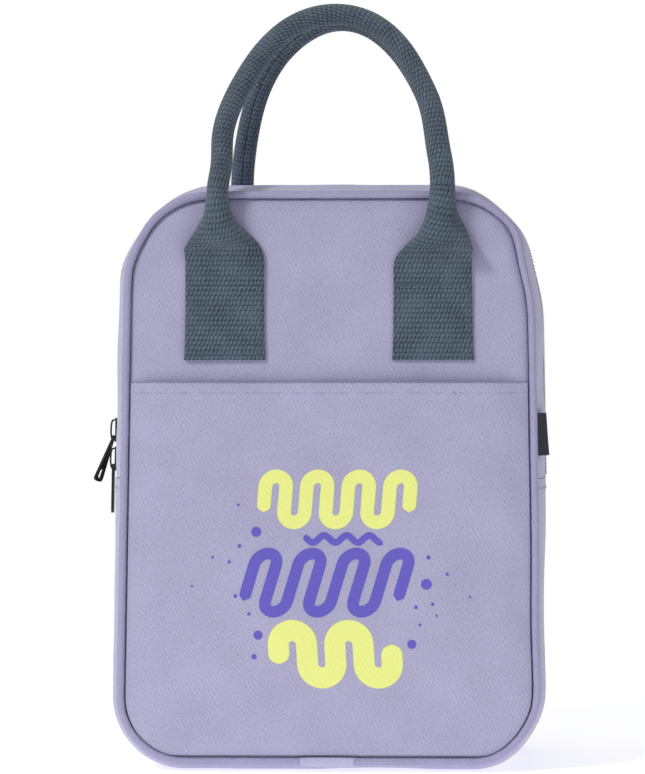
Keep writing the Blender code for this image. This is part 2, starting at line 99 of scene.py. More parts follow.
class BagSizes(PropertyGroup):
    """Sizes of the bag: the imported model's, apart from the cloth's creases and the pocket's room."""

    base_half: length("Foot half width", "Half width of the seam line at its foot", 0.0996)
    top_half: length("Head half width", "Half width of the seam line at its head", 0.0950)
    seam_foot: length("Seam foot", "Height of the seam line's foot", 0.0070)
    seam_head: length("Seam head", "Height of the seam line's head", 0.2770)
    foot_radius: length("Foot radius", "Radius of the seam line's lower corners", 0.029)
    head_radius: length("Head radius", "Radius of the seam line's upper corners", 0.037)
    half_depth: length("Half depth", "Depth of the front face of the front panel", 0.0625)
    fold_height: length("Fold height", "Height at which the front folds down", 0.1415)
    gap: length("Gap", "Clearance between neighbouring layers", 0.0003)
    canvas: length("Canvas", "Thickness of the canvas", 0.0010)
    padding: length("Padding", "Thickness of canvas and foam together", 0.0053)
    lining: length("Lining", "Thickness of the foil lining", 0.0008)
    bulge: length("Bulge", "How far a gusset swells outside the seam line", 0.0080)
    seam_start: length("Seam start", "How far outside the seam line a gusset starts", 0.0010)
    valley: length("Valley", "Height of the gusset's edge beside the zip", 0.0092)
    bulge_depth: length("Bulge depth", "Depth at which a gusset swells most", 0.035)
    corner_slack: FloatProperty(name="Corner slack", description="Share of its swell that a strip loses "
                                "round the head corners", default=0.42, min=0.0, max=1.0)
    strip_depth: length("Strip depth", "Depth at which a gusset starts", 0.0600)
    zip_edge: length("Zip edge", "Depth at which a gusset ends beside the zip", 0.0056)
    edge_roll: length("Edge roll", "How far a panel rolls back into its seam", 0.0024)
    roll_run: length("Roll run", "Width of the rolled edge of a panel", 0.0075)
    crown: length("Crown", "How far a padded panel stands out in its middle", 0.0007)
    crease: length("Crease", "Height of the soft unevenness of the cloth", 0.00049)
    piping_radius: length("Piping radius", "Radius of the piping", 0.0018)
    piping_out: length("Piping offset", "Distance of the piping outside the seam line", 0.0019)
    piping_depth: length("Piping depth", "Depth of the piping's middle", 0.0622)
    pocket_top: length("Pocket mouth", "Height of the pocket's hem", 0.1880)
    pocket_gape: length("Pocket room", "Room between the panel and the pocket", 0.0031)
    hem: length("Hem", "Width of the pocket's turned hem", 0.0062)
    coil_pitch: length("Coil pitch", "Pitch of the zip's coil", 0.00125)
    coil_wire: length("Coil wire", "Radius of the coil's nylon wire", 0.00034)
    webbing_width: length("Webbing width", "Width of the handle webbing", 0.038)
    webbing_thickness: length("Webbing thickness", "Thickness of the handle webbing", 0.0022)
    handle_spacing: length("Handle spacing", "Half the distance between a handle's ends", 0.0502)
    tab_foot: length("Tab foot", "Height of the foot of a handle's sewn end", 0.1990)
    tab_head: length("Tab head", "Height at which a handle leaves the panel", 0.2520)
    roll_head: length("Roll head", "Height at which the webbing is rolled into a tube", 0.2850)
    arch_half: length("Arch half width", "Half width of a handle's arch", 0.0540)
    arch_base: length("Arch base", "Height at which a handle's arch starts", 0.2840)
    front_rise: length("Front rise", "Rise of the front handle's arch", 0.0847)
    back_rise: length("Back rise", "Rise of the back handle's arch", 0.0892)
    back_half: length("Back half width", "Half width of the back handle's arch", 0.0500)
    leg_depth: length("Leg depth", "Depth of a handle's tube at the top of the bag", 0.0705)
    arch_pinch: FloatProperty(name="Arch pinch", description="How far the front arch's shoulders draw in",
                              default=0.06, min=0.0, max=0.5)
    arch_lean: FloatProperty(name="Arch lean", description="Lean of an arch towards the middle of the bag",
                             default=math.radians(22), subtype="ANGLE", unit="ROTATION")
    label_foot: length("Label foot", "Height of the woven label's foot", 0.1527)
    label_head: length("Label head", "Height of the woven label's head", 0.1734)
    label_near: length("Label seam", "Depth at which the label leaves the seam", 0.0598)
    label_far: length("Label end", "Depth at which the label ends", 0.0460)
    seed: IntProperty(name="Seed", description="Seed of the cloth's unevenness", default=7, min=0)


class BagColours(PropertyGroup):
    """Colours of the bag's materials."""

    canvas: colour("Canvas", "Colour of the cotton canvas", "AAA7C4")
    # The gussets are cut from the panels' canvas; their colour is painted lighter than it, as painted light
    # on the bag's sides.
    gusset: colour("Gusset", "Colour of the gusset's canvas", "B8B5D2")
    # The piping is covered with the panels' canvas; its colour is painted darker than it, as painted shade on
    # the round cord in its seam.
    piping: colour("Piping", "Colour of the bias-cut piping", "A29FBE")
    webbing: colour("Webbing", "Colour of the webbing's raised yarns", "63727F")
    webbing_shade: colour("Webbing shade", "Colour between the webbing's yarns", "25313E")
    lime: colour("Lime", "Colour of the lime print", "E8ED8C")
    violet: colour("Violet", "Colour of the violet print", "685FBE")
    foil: colour("Foil", "Colour of the foil lining", "C9CCD0")
    tape: colour("Zip tape", "Colour of the zip's woven tape", "8D8AAE")
    coil: colour("Zip coil", "Colour of the zip's nylon coil", "85829F")
    metal: colour("Metal", "Colour of the gunmetal plating", "3C3C3E")
    binding: colour("Binding", "Colour of the binding tape", "DADADA")
    label: colour("Label", "Colour of the woven label", "1A1E29")
    thread: colour("Thread", "Colour of the sewing thread", "ADAAC8")
    dark_thread: colour("Dark thread", "Colour of the thread on the webbing", "5C6E84")


# ---- shape helpers ----
def ease(t):
    """Smooth step from 0 to 1."""
    t = np.clip(t, 0.0, 1.0)
    return t * t * (3 - 2 * t)


def ripple(u, v, size, seed, count=7):
    """Soft unevenness of about -1 to 1: a sum of plane sine waves of seeded direction, length and phase."""
    random = np.random.default_rng(seed)
    total = 0.0
    for _ in range(count):
        turn = random.uniform(0, math.pi)
        wave = size * random.uniform(0.7, 1.7)
        phase = random.uniform(0, 2 * math.pi)
        total = total + np.sin(2 * math.pi * (u * math.cos(turn) + v * math.sin(turn)) / wave + phase)
    return total / math.sqrt(count)


def side_tilt(s):
    return math.atan2(s.base_half - s.top_half, s.seam_head - s.seam_foot)


def side_half(s, z):
    """Half width between the straight side lines at height z."""
    return s.base_half - (z - s.seam_foot) * math.tan(side_tilt(s))


def corner(s, head):
    """Centre and radius of a right-hand corner of the seam line."""
    radius = s.head_radius if head else s.foot_radius
    z = s.seam_head - radius if head else s.seam_foot + radius
    return side_half(s, z) - radius / math.cos(side_tilt(s)), z, radius


def seam_half_width(s, z):
    """Half width of the seam line at any height: the side line, or the corner arc beyond its centre."""
    z = np.asarray(z, float)
    half = side_half(s, z)
    for head in (False, True):
        x, centre, radius = corner(s, head)
        beyond = z - centre if head else centre - z
        arc = x + np.sqrt(np.maximum(radius ** 2 - beyond ** 2, 0.0))
        half = np.where(beyond > 0, arc, half)
    return half


def seam_half_run(s, head):
    """Left half of the seam line, from the fold to the middle: x, z and angle of the outward normal."""
    x, z, radius = corner(s, head)
    tilt = side_tilt(s)
    end = 0.5 * math.pi if head else 1.5 * math.pi
    turn = np.linspace(math.pi - tilt, end, 60)
    foot = -side_half(s, s.fold_height)
    run_x = np.concatenate([[foot], -x + radius * np.cos(turn), [0.0]])
    run_z = np.concatenate([[s.fold_height], z + radius * np.sin(turn), [z + radius * math.sin(end)]])
    return run_x, run_z, np.concatenate([[math.pi - tilt], turn, [end]]), end


def seam_line(s, part, step, trim=0.0):
    """The seam line as evenly spaced points: x, z, outward normal (nx, nz) and length from its start.

    part is "upper" or "lower", from the left fold to the right one, or "whole", a closed loop.
    """
    runs = []
    for head in (True, False):
        x, z, angle, end = seam_half_run(s, head)
        x = np.concatenate([x, -x[-2::-1]])
        z = np.concatenate([z, z[-2::-1]])
        angle = np.concatenate([angle, 2 * end - angle[-2::-1]])
        runs.append((x, z, angle))
    upper, lower = runs
    if part == "upper":
        x, z, angle = upper
    elif part == "lower":
        x, z, angle = lower
    else:
        x, z = (np.concatenate([upper[k], lower[k][-2::-1]]) for k in (0, 1))
        angle = np.concatenate([upper[2], lower[2][-2::-1] - 2 * math.pi])
    along = np.concatenate([[0.0], np.cumsum(np.hypot(np.diff(x), np.diff(z)))])
    total = along[-1]
    count = int(round((total - 2 * trim) / step))
    if part == "whole":
        at = np.linspace(0, total, count, endpoint=False)
    else:
        at = np.linspace(trim, total - trim, count + 1)
    angle = np.interp(at, along, angle)
    return {"x": np.interp(at, along, x), "z": np.interp(at, along, z), "nx": np.cos(angle),
            "nz": np.sin(angle), "at": at, "total": total}


def carry(line, out, depth):
    """Grid of points of a cross-section (out, depth) carried along a seam line."""
    shape = (len(line["x"]), np.shape(out)[-1])
    out = np.broadcast_to(out, shape)
    depth = np.broadcast_to(depth, shape)
    x = line["x"][:, None] + line["nx"][:, None] * out
    z = line["z"][:, None] + line["nz"][:, None] * out
    return np.stack([x, depth, z], -1)


def edge_distance(s, x, z):
    """Distance of a point of a panel from the seam line, measured inwards."""
    side = (side_half(s, z) - np.abs(x)) * math.cos(side_tilt(s))
    best = np.minimum(side, np.minimum(s.seam_head - z, z - s.seam_foot))
    for head in (False, True):
        radius = s.head_radius if head else s.foot_radius
        a = radius - side
        b = radius - (s.seam_head - z if head else z - s.seam_foot)
        best = np.where((a > 0) & (b > 0), radius - np.hypot(a, b), best)
    return np.maximum(best, 0.0)


def swell(s, x, z, seed):
    """How far a padded panel stands out from its flat face: a low crown, soft creases, a rolled edge."""
    inside = edge_distance(s, x, z)
    share = np.clip(inside / s.roll_run, 0.0, 1.0)
    roll = s.edge_roll * (1 - np.sqrt(1 - (1 - share) ** 2))
    crown = s.crown * (1 - np.exp(-inside / 0.030))
    crease = s.crease * ripple(x, z, 0.075, seed) * ease(inside / 0.035)
    pucker = 0.00034 * ripple(x, z, 0.022, seed + 5) * np.exp(-inside / 0.012) * ease(inside / 0.005)
    return crown + crease + pucker - roll


def strip_height(s, depth):
    """Outer height of a gusset strip: a sine rise from the seam, and a cosine fall to the zip."""
    depth = np.abs(depth)
    rise = (s.strip_depth - depth) / (s.strip_depth - s.bulge_depth)
    fall = np.clip((s.bulge_depth - depth) / (s.bulge_depth - s.zip_edge), 0.0, 1.0)
    high = s.seam_start + (s.bulge - s.seam_start) * np.sin(math.pi / 2 * np.clip(rise, 0.0, 1.0))
    low = s.valley + (s.bulge - s.valley) * np.cos(math.pi / 2 * fall)
    return np.where(depth > s.bulge_depth, high, low)


def corner_share(s, line):
    """Share of its swell that an upper strip keeps along the seam: less round the head corners."""
    return 1 - s.corner_slack * (2 * line["nx"] * line["nz"])[:, None] ** 2


def upper_height(s, line, depths):
    """Outer height of an upper gusset strip at each seam point and depth."""
    return s.seam_start + (strip_height(s, depths)[None, :] - s.seam_start) * corner_share(s, line)


def zip_drop(s, line):
    """How far the zip sinks with the strip's edge round the head corners."""
    return (s.valley - s.seam_start) * (1 - corner_share(s, line))


def lengths(grid, axis, wrap):
    """Length run along one axis of a grid, at the middle of the other axis."""
    line = np.take(grid, grid.shape[1 - axis] // 2, axis=1 - axis)
    if wrap:
        line = np.vstack([line, line[:1]])
    return np.concatenate([[0.0], np.cumsum(np.linalg.norm(np.diff(line, axis=0), axis=1))])


# ---- mesh helpers ----
def patch(grid, wrap_u=False, wrap_v=True, uv=None):
    """Faces of a grid of points, with flat caps on an open tube, turned outward by its signed volume.

    uv has one more row or column than the grid where it wraps; by default it is the length run in metres.
    """
    rows, columns = grid.shape[:2]
    if uv is None:
        along, across = lengths(grid, 0, wrap_u), lengths(grid, 1, wrap_v)
        uv = np.stack(np.broadcast_arrays(across[None, :], along[:, None]), -1)
    points = grid.reshape(-1, 3)
    index = np.arange(rows * columns).reshape(rows, columns)
    if wrap_u:
        index = np.vstack([index, index[:1]])
    if wrap_v:
        index = np.hstack([index, index[:, :1]])
    corners = (np.s_[:-1, :-1], np.s_[1:, :-1], np.s_[1:, 1:], np.s_[:-1, 1:])
    quads = np.stack([index[c] for c in corners], -1).reshape(-1, 4)
    quad_uv = np.stack([uv[c] for c in corners], 2).reshape(-1, 4, 2)
    faces = [(quads, quad_uv)]
    if wrap_v and not wrap_u:
        faces.append((index[:1, :columns], uv[:1, :columns]))
        faces.append((index[-1:, :columns][:, ::-1], uv[-1:, :columns][:, ::-1]))
    volume = 0.0
    for loops, _ in faces:
        a = points[loops[:, :1]]
        b = points[loops[:, 1:-1]]
        c = points[loops[:, 2:]]
        volume += float((a * np.cross(b, c)).sum())
    if volume < 0:
        faces = [(loops[:, ::-1], face_uv[:, ::-1]) for loops, face_uv in faces]
    return points, faces


def settle(points):
    """Lean of a filled bag: near its corners the walls draw in by up to 4 mm, most at the top.

    On the zip's side the lean starts higher, above the reach of the sliders.
    """
    x, z = points[:, 0], points[:, 2]
    near = ease((np.abs(x) - 0.062) / 0.034) * (np.abs(x) < 0.3)
    zipped = 0.0023 * np.exp(-((z - 0.2580) / np.where(z < 0.2580, 0.0135, 0.0120)) ** 2)
    top = np.where(x > 0, 0.0038 * np.exp(-((z - 0.2470) / 0.0145) ** 2), zipped)
    foot = 0.0023 * np.exp(-((z - 0.0150) / 0.0170) ** 2) + 0.0008 * np.exp(-((z - 0.07) / 0.03) ** 2)
    drop = 0.0012 * np.exp(-((z - 0.2700) / 0.0100) ** 2) * ease((np.abs(x) - 0.045) / 0.025)
    settled = points.copy()
    settled[:, 0] -= np.sign(x) * near * (top + np.where(x > 0, foot, 0.0))
    settled[:, 2] -= drop * (np.abs(x) < 0.3)
    return settled


def mesh_object(name, patches, finish, sharp=38):
    """One mesh object from patches, with metres of cloth as its UV map."""
    loops, starts, flat_uv, points = [], [], [], []
    first, start = 0, 0
    for patch_points, faces in patches:
        points.append(patch_points)
        for face, uv in faces:
            loops.append((face + first).reshape(-1))
            starts.append(start + np.arange(len(face)) * face.shape[1])
            flat_uv.append(uv.reshape(-1, 2))
            start += face.size
        first += len(patch_points)
    points = settle(np.concatenate(points))
    loops = np.concatenate(loops)
    starts = np.concatenate(starts)
    mesh = bpy.data.meshes.new(name)
    mesh.vertices.add(len(points))
    mesh.vertices.foreach_set("co", points.astype(np.float32).ravel())
    mesh.loops.add(len(loops))
    mesh.loops.foreach_set("vertex_index", loops.astype(np.int32))
    mesh.polygons.add(len(starts))
    mesh.polygons.foreach_set("loop_start", starts.astype(np.int32))
    layer = mesh.uv_layers.new(name="cloth")
    layer.data.foreach_set("uv", np.concatenate(flat_uv).astype(np.float32).ravel())
    mesh.update()
    if mesh.validate():
        raise RuntimeError(f"{name} has faces that Blender had to repair")
    mesh.shade_smooth()
    mesh.set_sharp_from_angle(angle=math.radians(sharp))
    mesh.materials.append(finish)
    obj = bpy.data.objects.new(name, mesh)
    bpy.context.scene.collection.objects.link(obj)
    return obj


def place(obj, body, stands_for=()):
    """Give a piece its body and the CAD nodes it stands for.

    A piece given the body "fold" only has its transform baked; it is not attached to any body.
    """
    if body == "fold":
        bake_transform(obj)
    else:
        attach(obj, body)
    if stands_for:
        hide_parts(*stands_for)
    return obj


def tube(centres, radius, up, sides=8, closed=False, flat=1.0):
    """Grid of a round or flattened tube along a path; up is roughly the direction of its first side."""
    if closed:
        ahead = np.roll(centres, -1, 0) - np.roll(centres, 1, 0)
    else:
        ahead = np.gradient(centres, axis=0)
    ahead = ahead / np.linalg.norm(ahead, axis=1, keepdims=True)
    across = np.cross(ahead, up)
    across /= np.linalg.norm(across, axis=1, keepdims=True)
    top = np.cross(across, ahead)
    turn = np.arange(sides) * 2 * math.pi / sides
    radius = np.broadcast_to(radius, (len(centres),))[:, None, None]
    ring = across[:, None] * np.cos(turn)[None, :, None] + flat * top[:, None] * np.sin(turn)[None, :, None]
    return centres[:, None] + radius * ring


def stitches(path, up, pitch=0.0030, share=0.72, radius=0.00028, lift=0.0001):
    """A row of thread stitches along a path, each a short arched tube that dips into the cloth."""
    run = np.concatenate([[0.0], np.cumsum(np.linalg.norm(np.diff(path, axis=0), axis=1))])
    count = max(int(run[-1] / pitch), 1)
    patches = []
    up = np.broadcast_to(up, path.shape)
    for k in range(count):
        middle = (k + 0.5) * run[-1] / count
        t = np.linspace(-0.5, 0.5, 7)
        at = middle + t * pitch * share
        centre = np.stack([np.interp(at, run, path[:, a]) for a in range(3)], -1)
        rise = np.stack([np.interp(middle, run, up[:, a]) for a in range(3)], -1)
        arch = (1 - (2 * t) ** 4)[:, None]
        centre = centre + rise * (lift + radius * (1.4 * arch - 1.0))
        thick = radius * (0.45 + 0.55 * np.sqrt(np.clip(1 - (2 * t) ** 2, 0, 1)))
        patches.append(patch(tube(centre, thick, rise, sides=6)))
    return patches


# ---- materials ----
def add(tree, kind, links=None, out=0, **settings):
    """Add a node with its settings, link or set its inputs, and return one of its outputs."""
    node = tree.nodes.new(kind)
    for key, value in settings.items():
        setattr(node, key, value)
    for socket, source in (links or {}).items():
        if isinstance(source, bpy.types.NodeSocket):
            tree.links.new(source, node.inputs[socket])
        else:
            node.inputs[socket].default_value = source
    return node.outputs[out]


def maths(tree, operation, *values):
    """One step of arithmetic on numbers or outputs."""
    return add(tree, "ShaderNodeMath", dict(enumerate(values)), operation=operation)


def noise(tree, at, scale, detail, **more):
    """Smooth random patches, about scale of them to the metre."""
    return add(tree, "ShaderNodeTexNoise", {0: at, "Scale": scale, "Detail": detail, **more})


def tint(tree, shader, tone, low, high):
    """Colour the surface from low to high by tone."""
    shade = add(tree, "ShaderNodeMix", {0: tone, 6: low, 7: high}, out=2, data_type="RGBA")
    tree.links.new(shade, shader.inputs["Base Color"])


def polish(tree, shader, tone, low, high):
    """Make the surface's roughness run from low to high by tone."""
    rough = add(tree, "ShaderNodeMapRange", {0: tone, 3: low, 4: high})
    tree.links.new(rough, shader.inputs["Roughness"])


def emboss(tree, shader, height, strength, distance):
    """Raise the surface by height, as a bump of that strength and distance."""
    bump = add(tree, "ShaderNodeBump", {"Strength": strength, "Distance": distance, "Height": height})
    tree.links.new(bump, shader.inputs["Normal"])


def shaded(value, share):
    """A colour made lighter or darker, with its alpha."""
    return (*[min(1.0, v * share) for v in value], 1.0)


def finish(name, **values):
    """A material with a Principled shader and its plain values."""
    made = bpy.data.materials.new(name)
    made.use_nodes = True
    shader = made.node_tree.nodes["Principled BSDF"]
    for key, value in values.items():
        shader.inputs[key.replace("_", " ")].default_value = value
    return made, made.node_tree, shader


def join_sum(tree, parts):
    """Weighted sum of outputs, centred on one half: parts are (output, weight) pairs."""
    total = None
    for source, weight in parts:
        scaled = maths(tree, "ADD", source, -0.5)
        if total is None:
            total = maths(tree, "MULTIPLY_ADD", scaled, weight, 0.5)
        else:
            total = maths(tree, "MULTIPLY_ADD", scaled, weight, total)
    return total


def canvas_cloth(name, base, pitch=0.0017, lean=-0.58, contrast=0.17, relief=0.00018, sheen=0.12):
    """Cotton twill canvas, piece-dyed: diagonal ribs of yarn, pitch apart, with slubs and cloudy patches."""
    made, tree, shader = finish(name, Roughness=0.88, Sheen_Weight=sheen, Sheen_Roughness=0.45,
                                Specular_IOR_Level=0.2)
    cloth = add(tree, "ShaderNodeTexCoord", out="UV")
    turned = add(tree, "ShaderNodeMapping", {0: cloth, "Rotation": (0, 0, lean)})
    # The twill's ribs are the first thing the eye picks up; on the panels they run down to the right.
    rib = add(tree, "ShaderNodeTexWave", {0: turned, "Scale": WAVE_LENGTH / pitch, "Distortion": 4.2,
                                          "Detail": 2.0, "Detail Scale": 0.8}, out="Fac", bands_direction="X")
    # Yarns crossing the ribs break them into short floats.
    cross = add(tree, "ShaderNodeTexWave", {0: turned, "Scale": WAVE_LENGTH / (pitch * 0.8),
                                            "Distortion": 2.6, "Detail": 2.0, "Detail Scale": 2.0},
                out="Fac", bands_direction="Y")
    # Slubs: thick places in the cotton yarn, a millimetre or so long.
    slub = noise(tree, turned, 620.0, 3.0, Roughness=0.7)
    # Cloudy patches a couple of centimetres across, from dyeing and handling.
    cloud = noise(tree, cloth, 38.0, 3.0)
    # The twill stands out in some patches and sinks back in others, where the nap lies over it.
    nap = noise(tree, cloth, 150.0, 1.0)
    clear = add(tree, "ShaderNodeMapRange", {0: nap, 1: 0.35, 2: 0.65, 3: 0.05, 4: 0.55})
    tone = join_sum(tree, [(rib, clear), (cross, 0.20), (slub, 1.05), (cloud, 0.70)])
    tint(tree, shader, tone, shaded(base, 1 - contrast), shaded(base, 1 + contrast))
    height = join_sum(tree, [(rib, clear), (cross, 0.30), (slub, 0.70)])
    emboss(tree, shader, height, 0.8, relief)
    return made


def webbing_cloth(name, light, dark):
    """Cotton webbing, loom-woven: upright ribs made of short slanted floats, in alternate rows."""
    made, tree, shader = finish(name, Roughness=0.9, Sheen_Weight=0.2, Sheen_Roughness=0.5,
                                Specular_IOR_Level=0.2)
    cloth = add(tree, "ShaderNodeTexCoord", out="UV")
    across = add(tree, "ShaderNodeSeparateXYZ", {0: cloth}, out="X")
    along = add(tree, "ShaderNodeSeparateXYZ", {0: cloth}, out="Y")
    # Floats stand 1.93 mm apart across the webbing, in rows 2.4 mm high along it.
    row = maths(tree, "MULTIPLY", along, 1 / 0.0024)
    within = maths(tree, "FRACT", row)
    number = maths(tree, "FLOOR", row)
    odd = maths(tree, "FLOORED_MODULO", number, 2.0)
    # Every other row is set over by part of a float, and each float slants upward to the right.
    place_across = maths(tree, "MULTIPLY", across, 1 / 0.00193)
    shifted = maths(tree, "MULTIPLY_ADD", odd, 0.36, place_across)
    slanted = maths(tree, "MULTIPLY_ADD", within, -0.34, shifted)
    # A slow wander keeps the rows from lining up like a printed grid.
    wander = noise(tree, cloth, 140.0, 2.0)
    strayed = maths(tree, "MULTIPLY_ADD", wander, 1.3, slanted)
    turn = maths(tree, "MULTIPLY", strayed, 2 * math.pi)
    wave = maths(tree, "SINE", turn)
    float_mask = add(tree, "ShaderNodeMapRange", {0: wave, 1: -0.85, 2: 0.85})
    ridge_turn = maths(tree, "MULTIPLY", within, math.pi)
    ridge = maths(tree, "SINE", ridge_turn)
    # Fibres and uneven dyeing keep the floats from looking printed.
    fibre = noise(tree, cloth, 900.0, 4.0, Roughness=0.7)
    cloud = noise(tree, cloth, 70.0, 2.0)
    tone = join_sum(tree, [(float_mask, 0.52), (ridge, 0.42), (fibre, 1.1), (cloud, 0.8)])
    tint(tree, shader, tone, (*dark, 1.0), (*light, 1.0))
    height = join_sum(tree, [(float_mask, 0.8), (ridge, 0.5), (fibre, 0.6)])
    emboss(tree, shader, height, 1.0, 0.00030)
    return made


def ribbed_cloth(name, base, pitch, contrast=0.12, relief=0.00010, roughness=0.85, sheen=0.1):
    """Narrow woven goods, such as tape, binding, label or thread: fine ribs across their length."""
    made, tree, shader = finish(name, Roughness=roughness, Sheen_Weight=sheen, Specular_IOR_Level=0.25)
    cloth = add(tree, "ShaderNodeTexCoord", out="UV")
    # Ribs finer than about 0.8 mm would vanish, so they are drawn a little coarser than woven.
    rib = add(tree, "ShaderNodeTexWave", {0: cloth, "Scale": WAVE_LENGTH / pitch, "Distortion": 0.8,
                                          "Detail Scale": 2.0}, out="Fac", bands_direction="Y")
    # Yarn unevenness, so that the ribs aren't machine-perfect.
    fibre = noise(tree, cloth, 700.0, 3.0)
    tone = join_sum(tree, [(rib, 0.6), (fibre, 0.9)])
    tint(tree, shader, tone, shaded(base, 1 - contrast), shaded(base, 1 + contrast))
    emboss(tree, shader, tone, 0.7, relief)
    return made


def foil_sheet(name, base):
    """Aluminised film laminated to cloth: a soft metallic sheet with small creases."""
    made, tree, shader = finish(name, Metallic=0.75)
    cloth = add(tree, "ShaderNodeTexCoord", out="UV")
    # Creases about a centimetre apart break up the reflections; they also paint the foil's colour lighter and
    # darker, as painted reflection and shade.
    crease = add(tree, "ShaderNodeTexVoronoi", {0: cloth, "Scale": 95.0, "Randomness": 1.0},
                 out="Distance", feature="SMOOTH_F1")
    # Pressed cloth grain shows through the film.
    grain = noise(tree, cloth, 800.0, 2.0)
    tone = join_sum(tree, [(crease, 0.6), (grain, 0.35)])
    # The colour from the creases is painted reflection and shade; the bump and roughness from them are the
    # film's own.
    tint(tree, shader, tone, shaded(base, 0.86), shaded(base, 1.08))
    polish(tree, shader, tone, 0.24, 0.42)
    emboss(tree, shader, tone, 0.6, 0.0005)
    return made


def plated_metal(name, base):
    """Gunmetal-plated die casting: dark satin metal, with rubbed and slightly rough patches."""
    made, tree, shader = finish(name, Metallic=0.9)
    here = add(tree, "ShaderNodeTexCoord", out="Object")
    # Patches of wear, a few millimetres across, catch the light differently.
    wear = noise(tree, here, 420.0, 4.0)
    tint(tree, shader, wear, shaded(base, 0.7), shaded(base, 1.5))
    polish(tree, shader, wear, 0.28, 0.50)
    # A cast skin: grains of about a third of a millimetre.
    grain = noise(tree, here, 3000.0, 2.0)
    emboss(tree, shader, grain, 0.25, 0.00005)
    return made


def moulded_nylon(name, base):
    """Nylon monofilament, drawn and dyed: smooth, slightly glossy, a little lighter in places."""
    made, tree, shader = finish(name, Roughness=0.38)
    here = add(tree, "ShaderNodeTexCoord", out="Object")
    # Dye takes unevenly over stretches of a few millimetres.
    dye = noise(tree, here, 260.0, 2.0)
    tint(tree, shader, dye, shaded(base, 0.85), shaded(base, 1.15))
    return made


def material(name):
    """The bag's material of that name, made when it is first asked for."""
    if name in bpy.data.materials:
        return bpy.data.materials[name]
    c = bpy.context.scene.lunch_bag_colours
    makers = {
        "panel_canvas": lambda n: canvas_cloth(n, tuple(c.canvas)),
        # The gussets' canvas is the panels' canvas painted lighter, as painted light on the sides, and the
        # piping's is painted darker, as painted shade on the cord.
        "gusset_canvas_painted_light": lambda n: canvas_cloth(n, tuple(c.gusset), lean=-0.95, contrast=0.10, sheen=0.3),
        "piping_bias_painted_shade": lambda n: canvas_cloth(n, tuple(c.piping), pitch=0.0014, lean=0.9, contrast=0.14),
        "lime_ink": lambda n: canvas_cloth(n, tuple(c.lime), contrast=0.05, relief=0.00012, sheen=0.0),
        "violet_ink": lambda n: canvas_cloth(n, tuple(c.violet), contrast=0.08, relief=0.00012, sheen=0.0),
        "cotton_webbing": lambda n: webbing_cloth(n, tuple(c.webbing), tuple(c.webbing_shade)),
        "foil_film": lambda n: foil_sheet(n, tuple(c.foil)),
        "zip_tape_weave": lambda n: ribbed_cloth(n, tuple(c.tape), 0.0009, 0.14),
        "zip_nylon": lambda n: moulded_nylon(n, tuple(c.coil)),
        "plated_gunmetal": lambda n: plated_metal(n, tuple(c.metal)),
        "binding_tape": lambda n: ribbed_cloth(n, tuple(c.binding), 0.0010, 0.08),
        "woven_label": lambda n: ribbed_cloth(n, tuple(c.label), 0.0008, 0.20, roughness=0.6),
        "sewing_thread": lambda n: ribbed_cloth(n, tuple(c.thread), 0.0008, 0.12, 0.00005, 0.6),
        "webbing_thread": lambda n: ribbed_cloth(n, tuple(c.dark_thread), 0.0008, 0.12, 0.00005, 0.6),
    }
    return makers[name](name)


# ---- pieces ----
def slab_rows(s, count, foot, head):
    """Heights for a panel's rows, closer together round its corners."""
    low = s.seam_foot + s.foot_radius * (1 - np.cos(np.linspace(0.10, math.pi / 2, 16)))
    high = s.seam_head - s.head_radius * (1 - np.cos(np.linspace(math.pi / 2, 0.10, 18)))
    middle = np.linspace(low[-1], high[0], count)[1:-1]
    rows = np.concatenate([[s.seam_foot + 0.0003], low, middle, high, [s.seam_head - 0.0003]])
    return rows[(rows >= foot) & (rows <= head)]


def padded_panel(s, name, side, inset, near, seed, count=70, columns=91):
    """A closed slab inside the seam line: an outer face raised by swell(), a flat inner face at depth near.

    side is -1 for the front and 1 for the back.
    """
    z = slab_rows(s, count, 0.0, 1.0)[:, None]
    t = np.linspace(-1, 1, columns)[None, :]
    u = 0.72 * t + 0.28 * np.sin(t * math.pi / 2)
    x = u * (seam_half_width(s, z) - inset)
    z = z + 0 * x
    outer = np.stack([x, side * (s.half_depth + swell(s, x, z, seed)), z], -1)
    inner = np.stack([x, side * near + 0 * x, z], -1)
    grid = np.concatenate([outer, inner[:, ::-1]], 1)
    uv = np.concatenate([grid, grid[:, :1]], 1)[..., [0, 2]]
    return patch(grid, uv=uv)


class LUNCHBAG_OT_panels(Operator):
    """Build the padded front and back panels and their foil linings"""

    bl_idname = "lunch_bag.panels"
    bl_label = "Panels"

    def execute(self, context):
        s = context.scene.lunch_bag_sizes
        near = s.half_depth - s.padding + 0.0002
        front = mesh_object("front_panel", [padded_panel(s, "front", -1, s.gap, near, s.seed)],
                            material("panel_canvas"))
        place(front, "fold", ("front_panel_flap", "front_panel_base", "front_foam_flap",
                                        "front_foam_base"))
        back = mesh_object("back_panel_padded", [padded_panel(s, "back", 1, s.gap, near, s.seed + 20)],
                           material("panel_canvas"))
        place(back, "shell", ("back_panel", "back_foam"))
        for word, side, body, nodes in (("front", -1, "fold", ("front_lining_flap", "front_lining_base")),
                                        ("back", 1, "shell", ("back_lining",))):
            z = slab_rows(s, 60, 0.0, 1.0)[:, None]
            x = np.linspace(-1, 1, 61)[None, :] * (seam_half_width(s, z) - 0.0016)
            z = z + 0 * x
            deep = s.half_depth - s.padding - s.gap
            inside = edge_distance(s, x, z)
            sag = 0.0007 * (1 + ripple(x, z, 0.05, s.seed + 40)) * ease(inside / 0.02)
            outer = np.stack([x, side * (deep + 0 * x), z], -1)
            inner = np.stack([x, side * (deep - s.lining - sag), z], -1)
            grid = np.concatenate([outer, inner[:, ::-1]], 1)
            uv = np.concatenate([grid, grid[:, :1]], 1)[..., [0, 2]]
            lining = mesh_object(word + "_foil", [patch(grid, uv=uv)], material("foil_film"))
            place(lining, body, nodes)
        return {"FINISHED"}


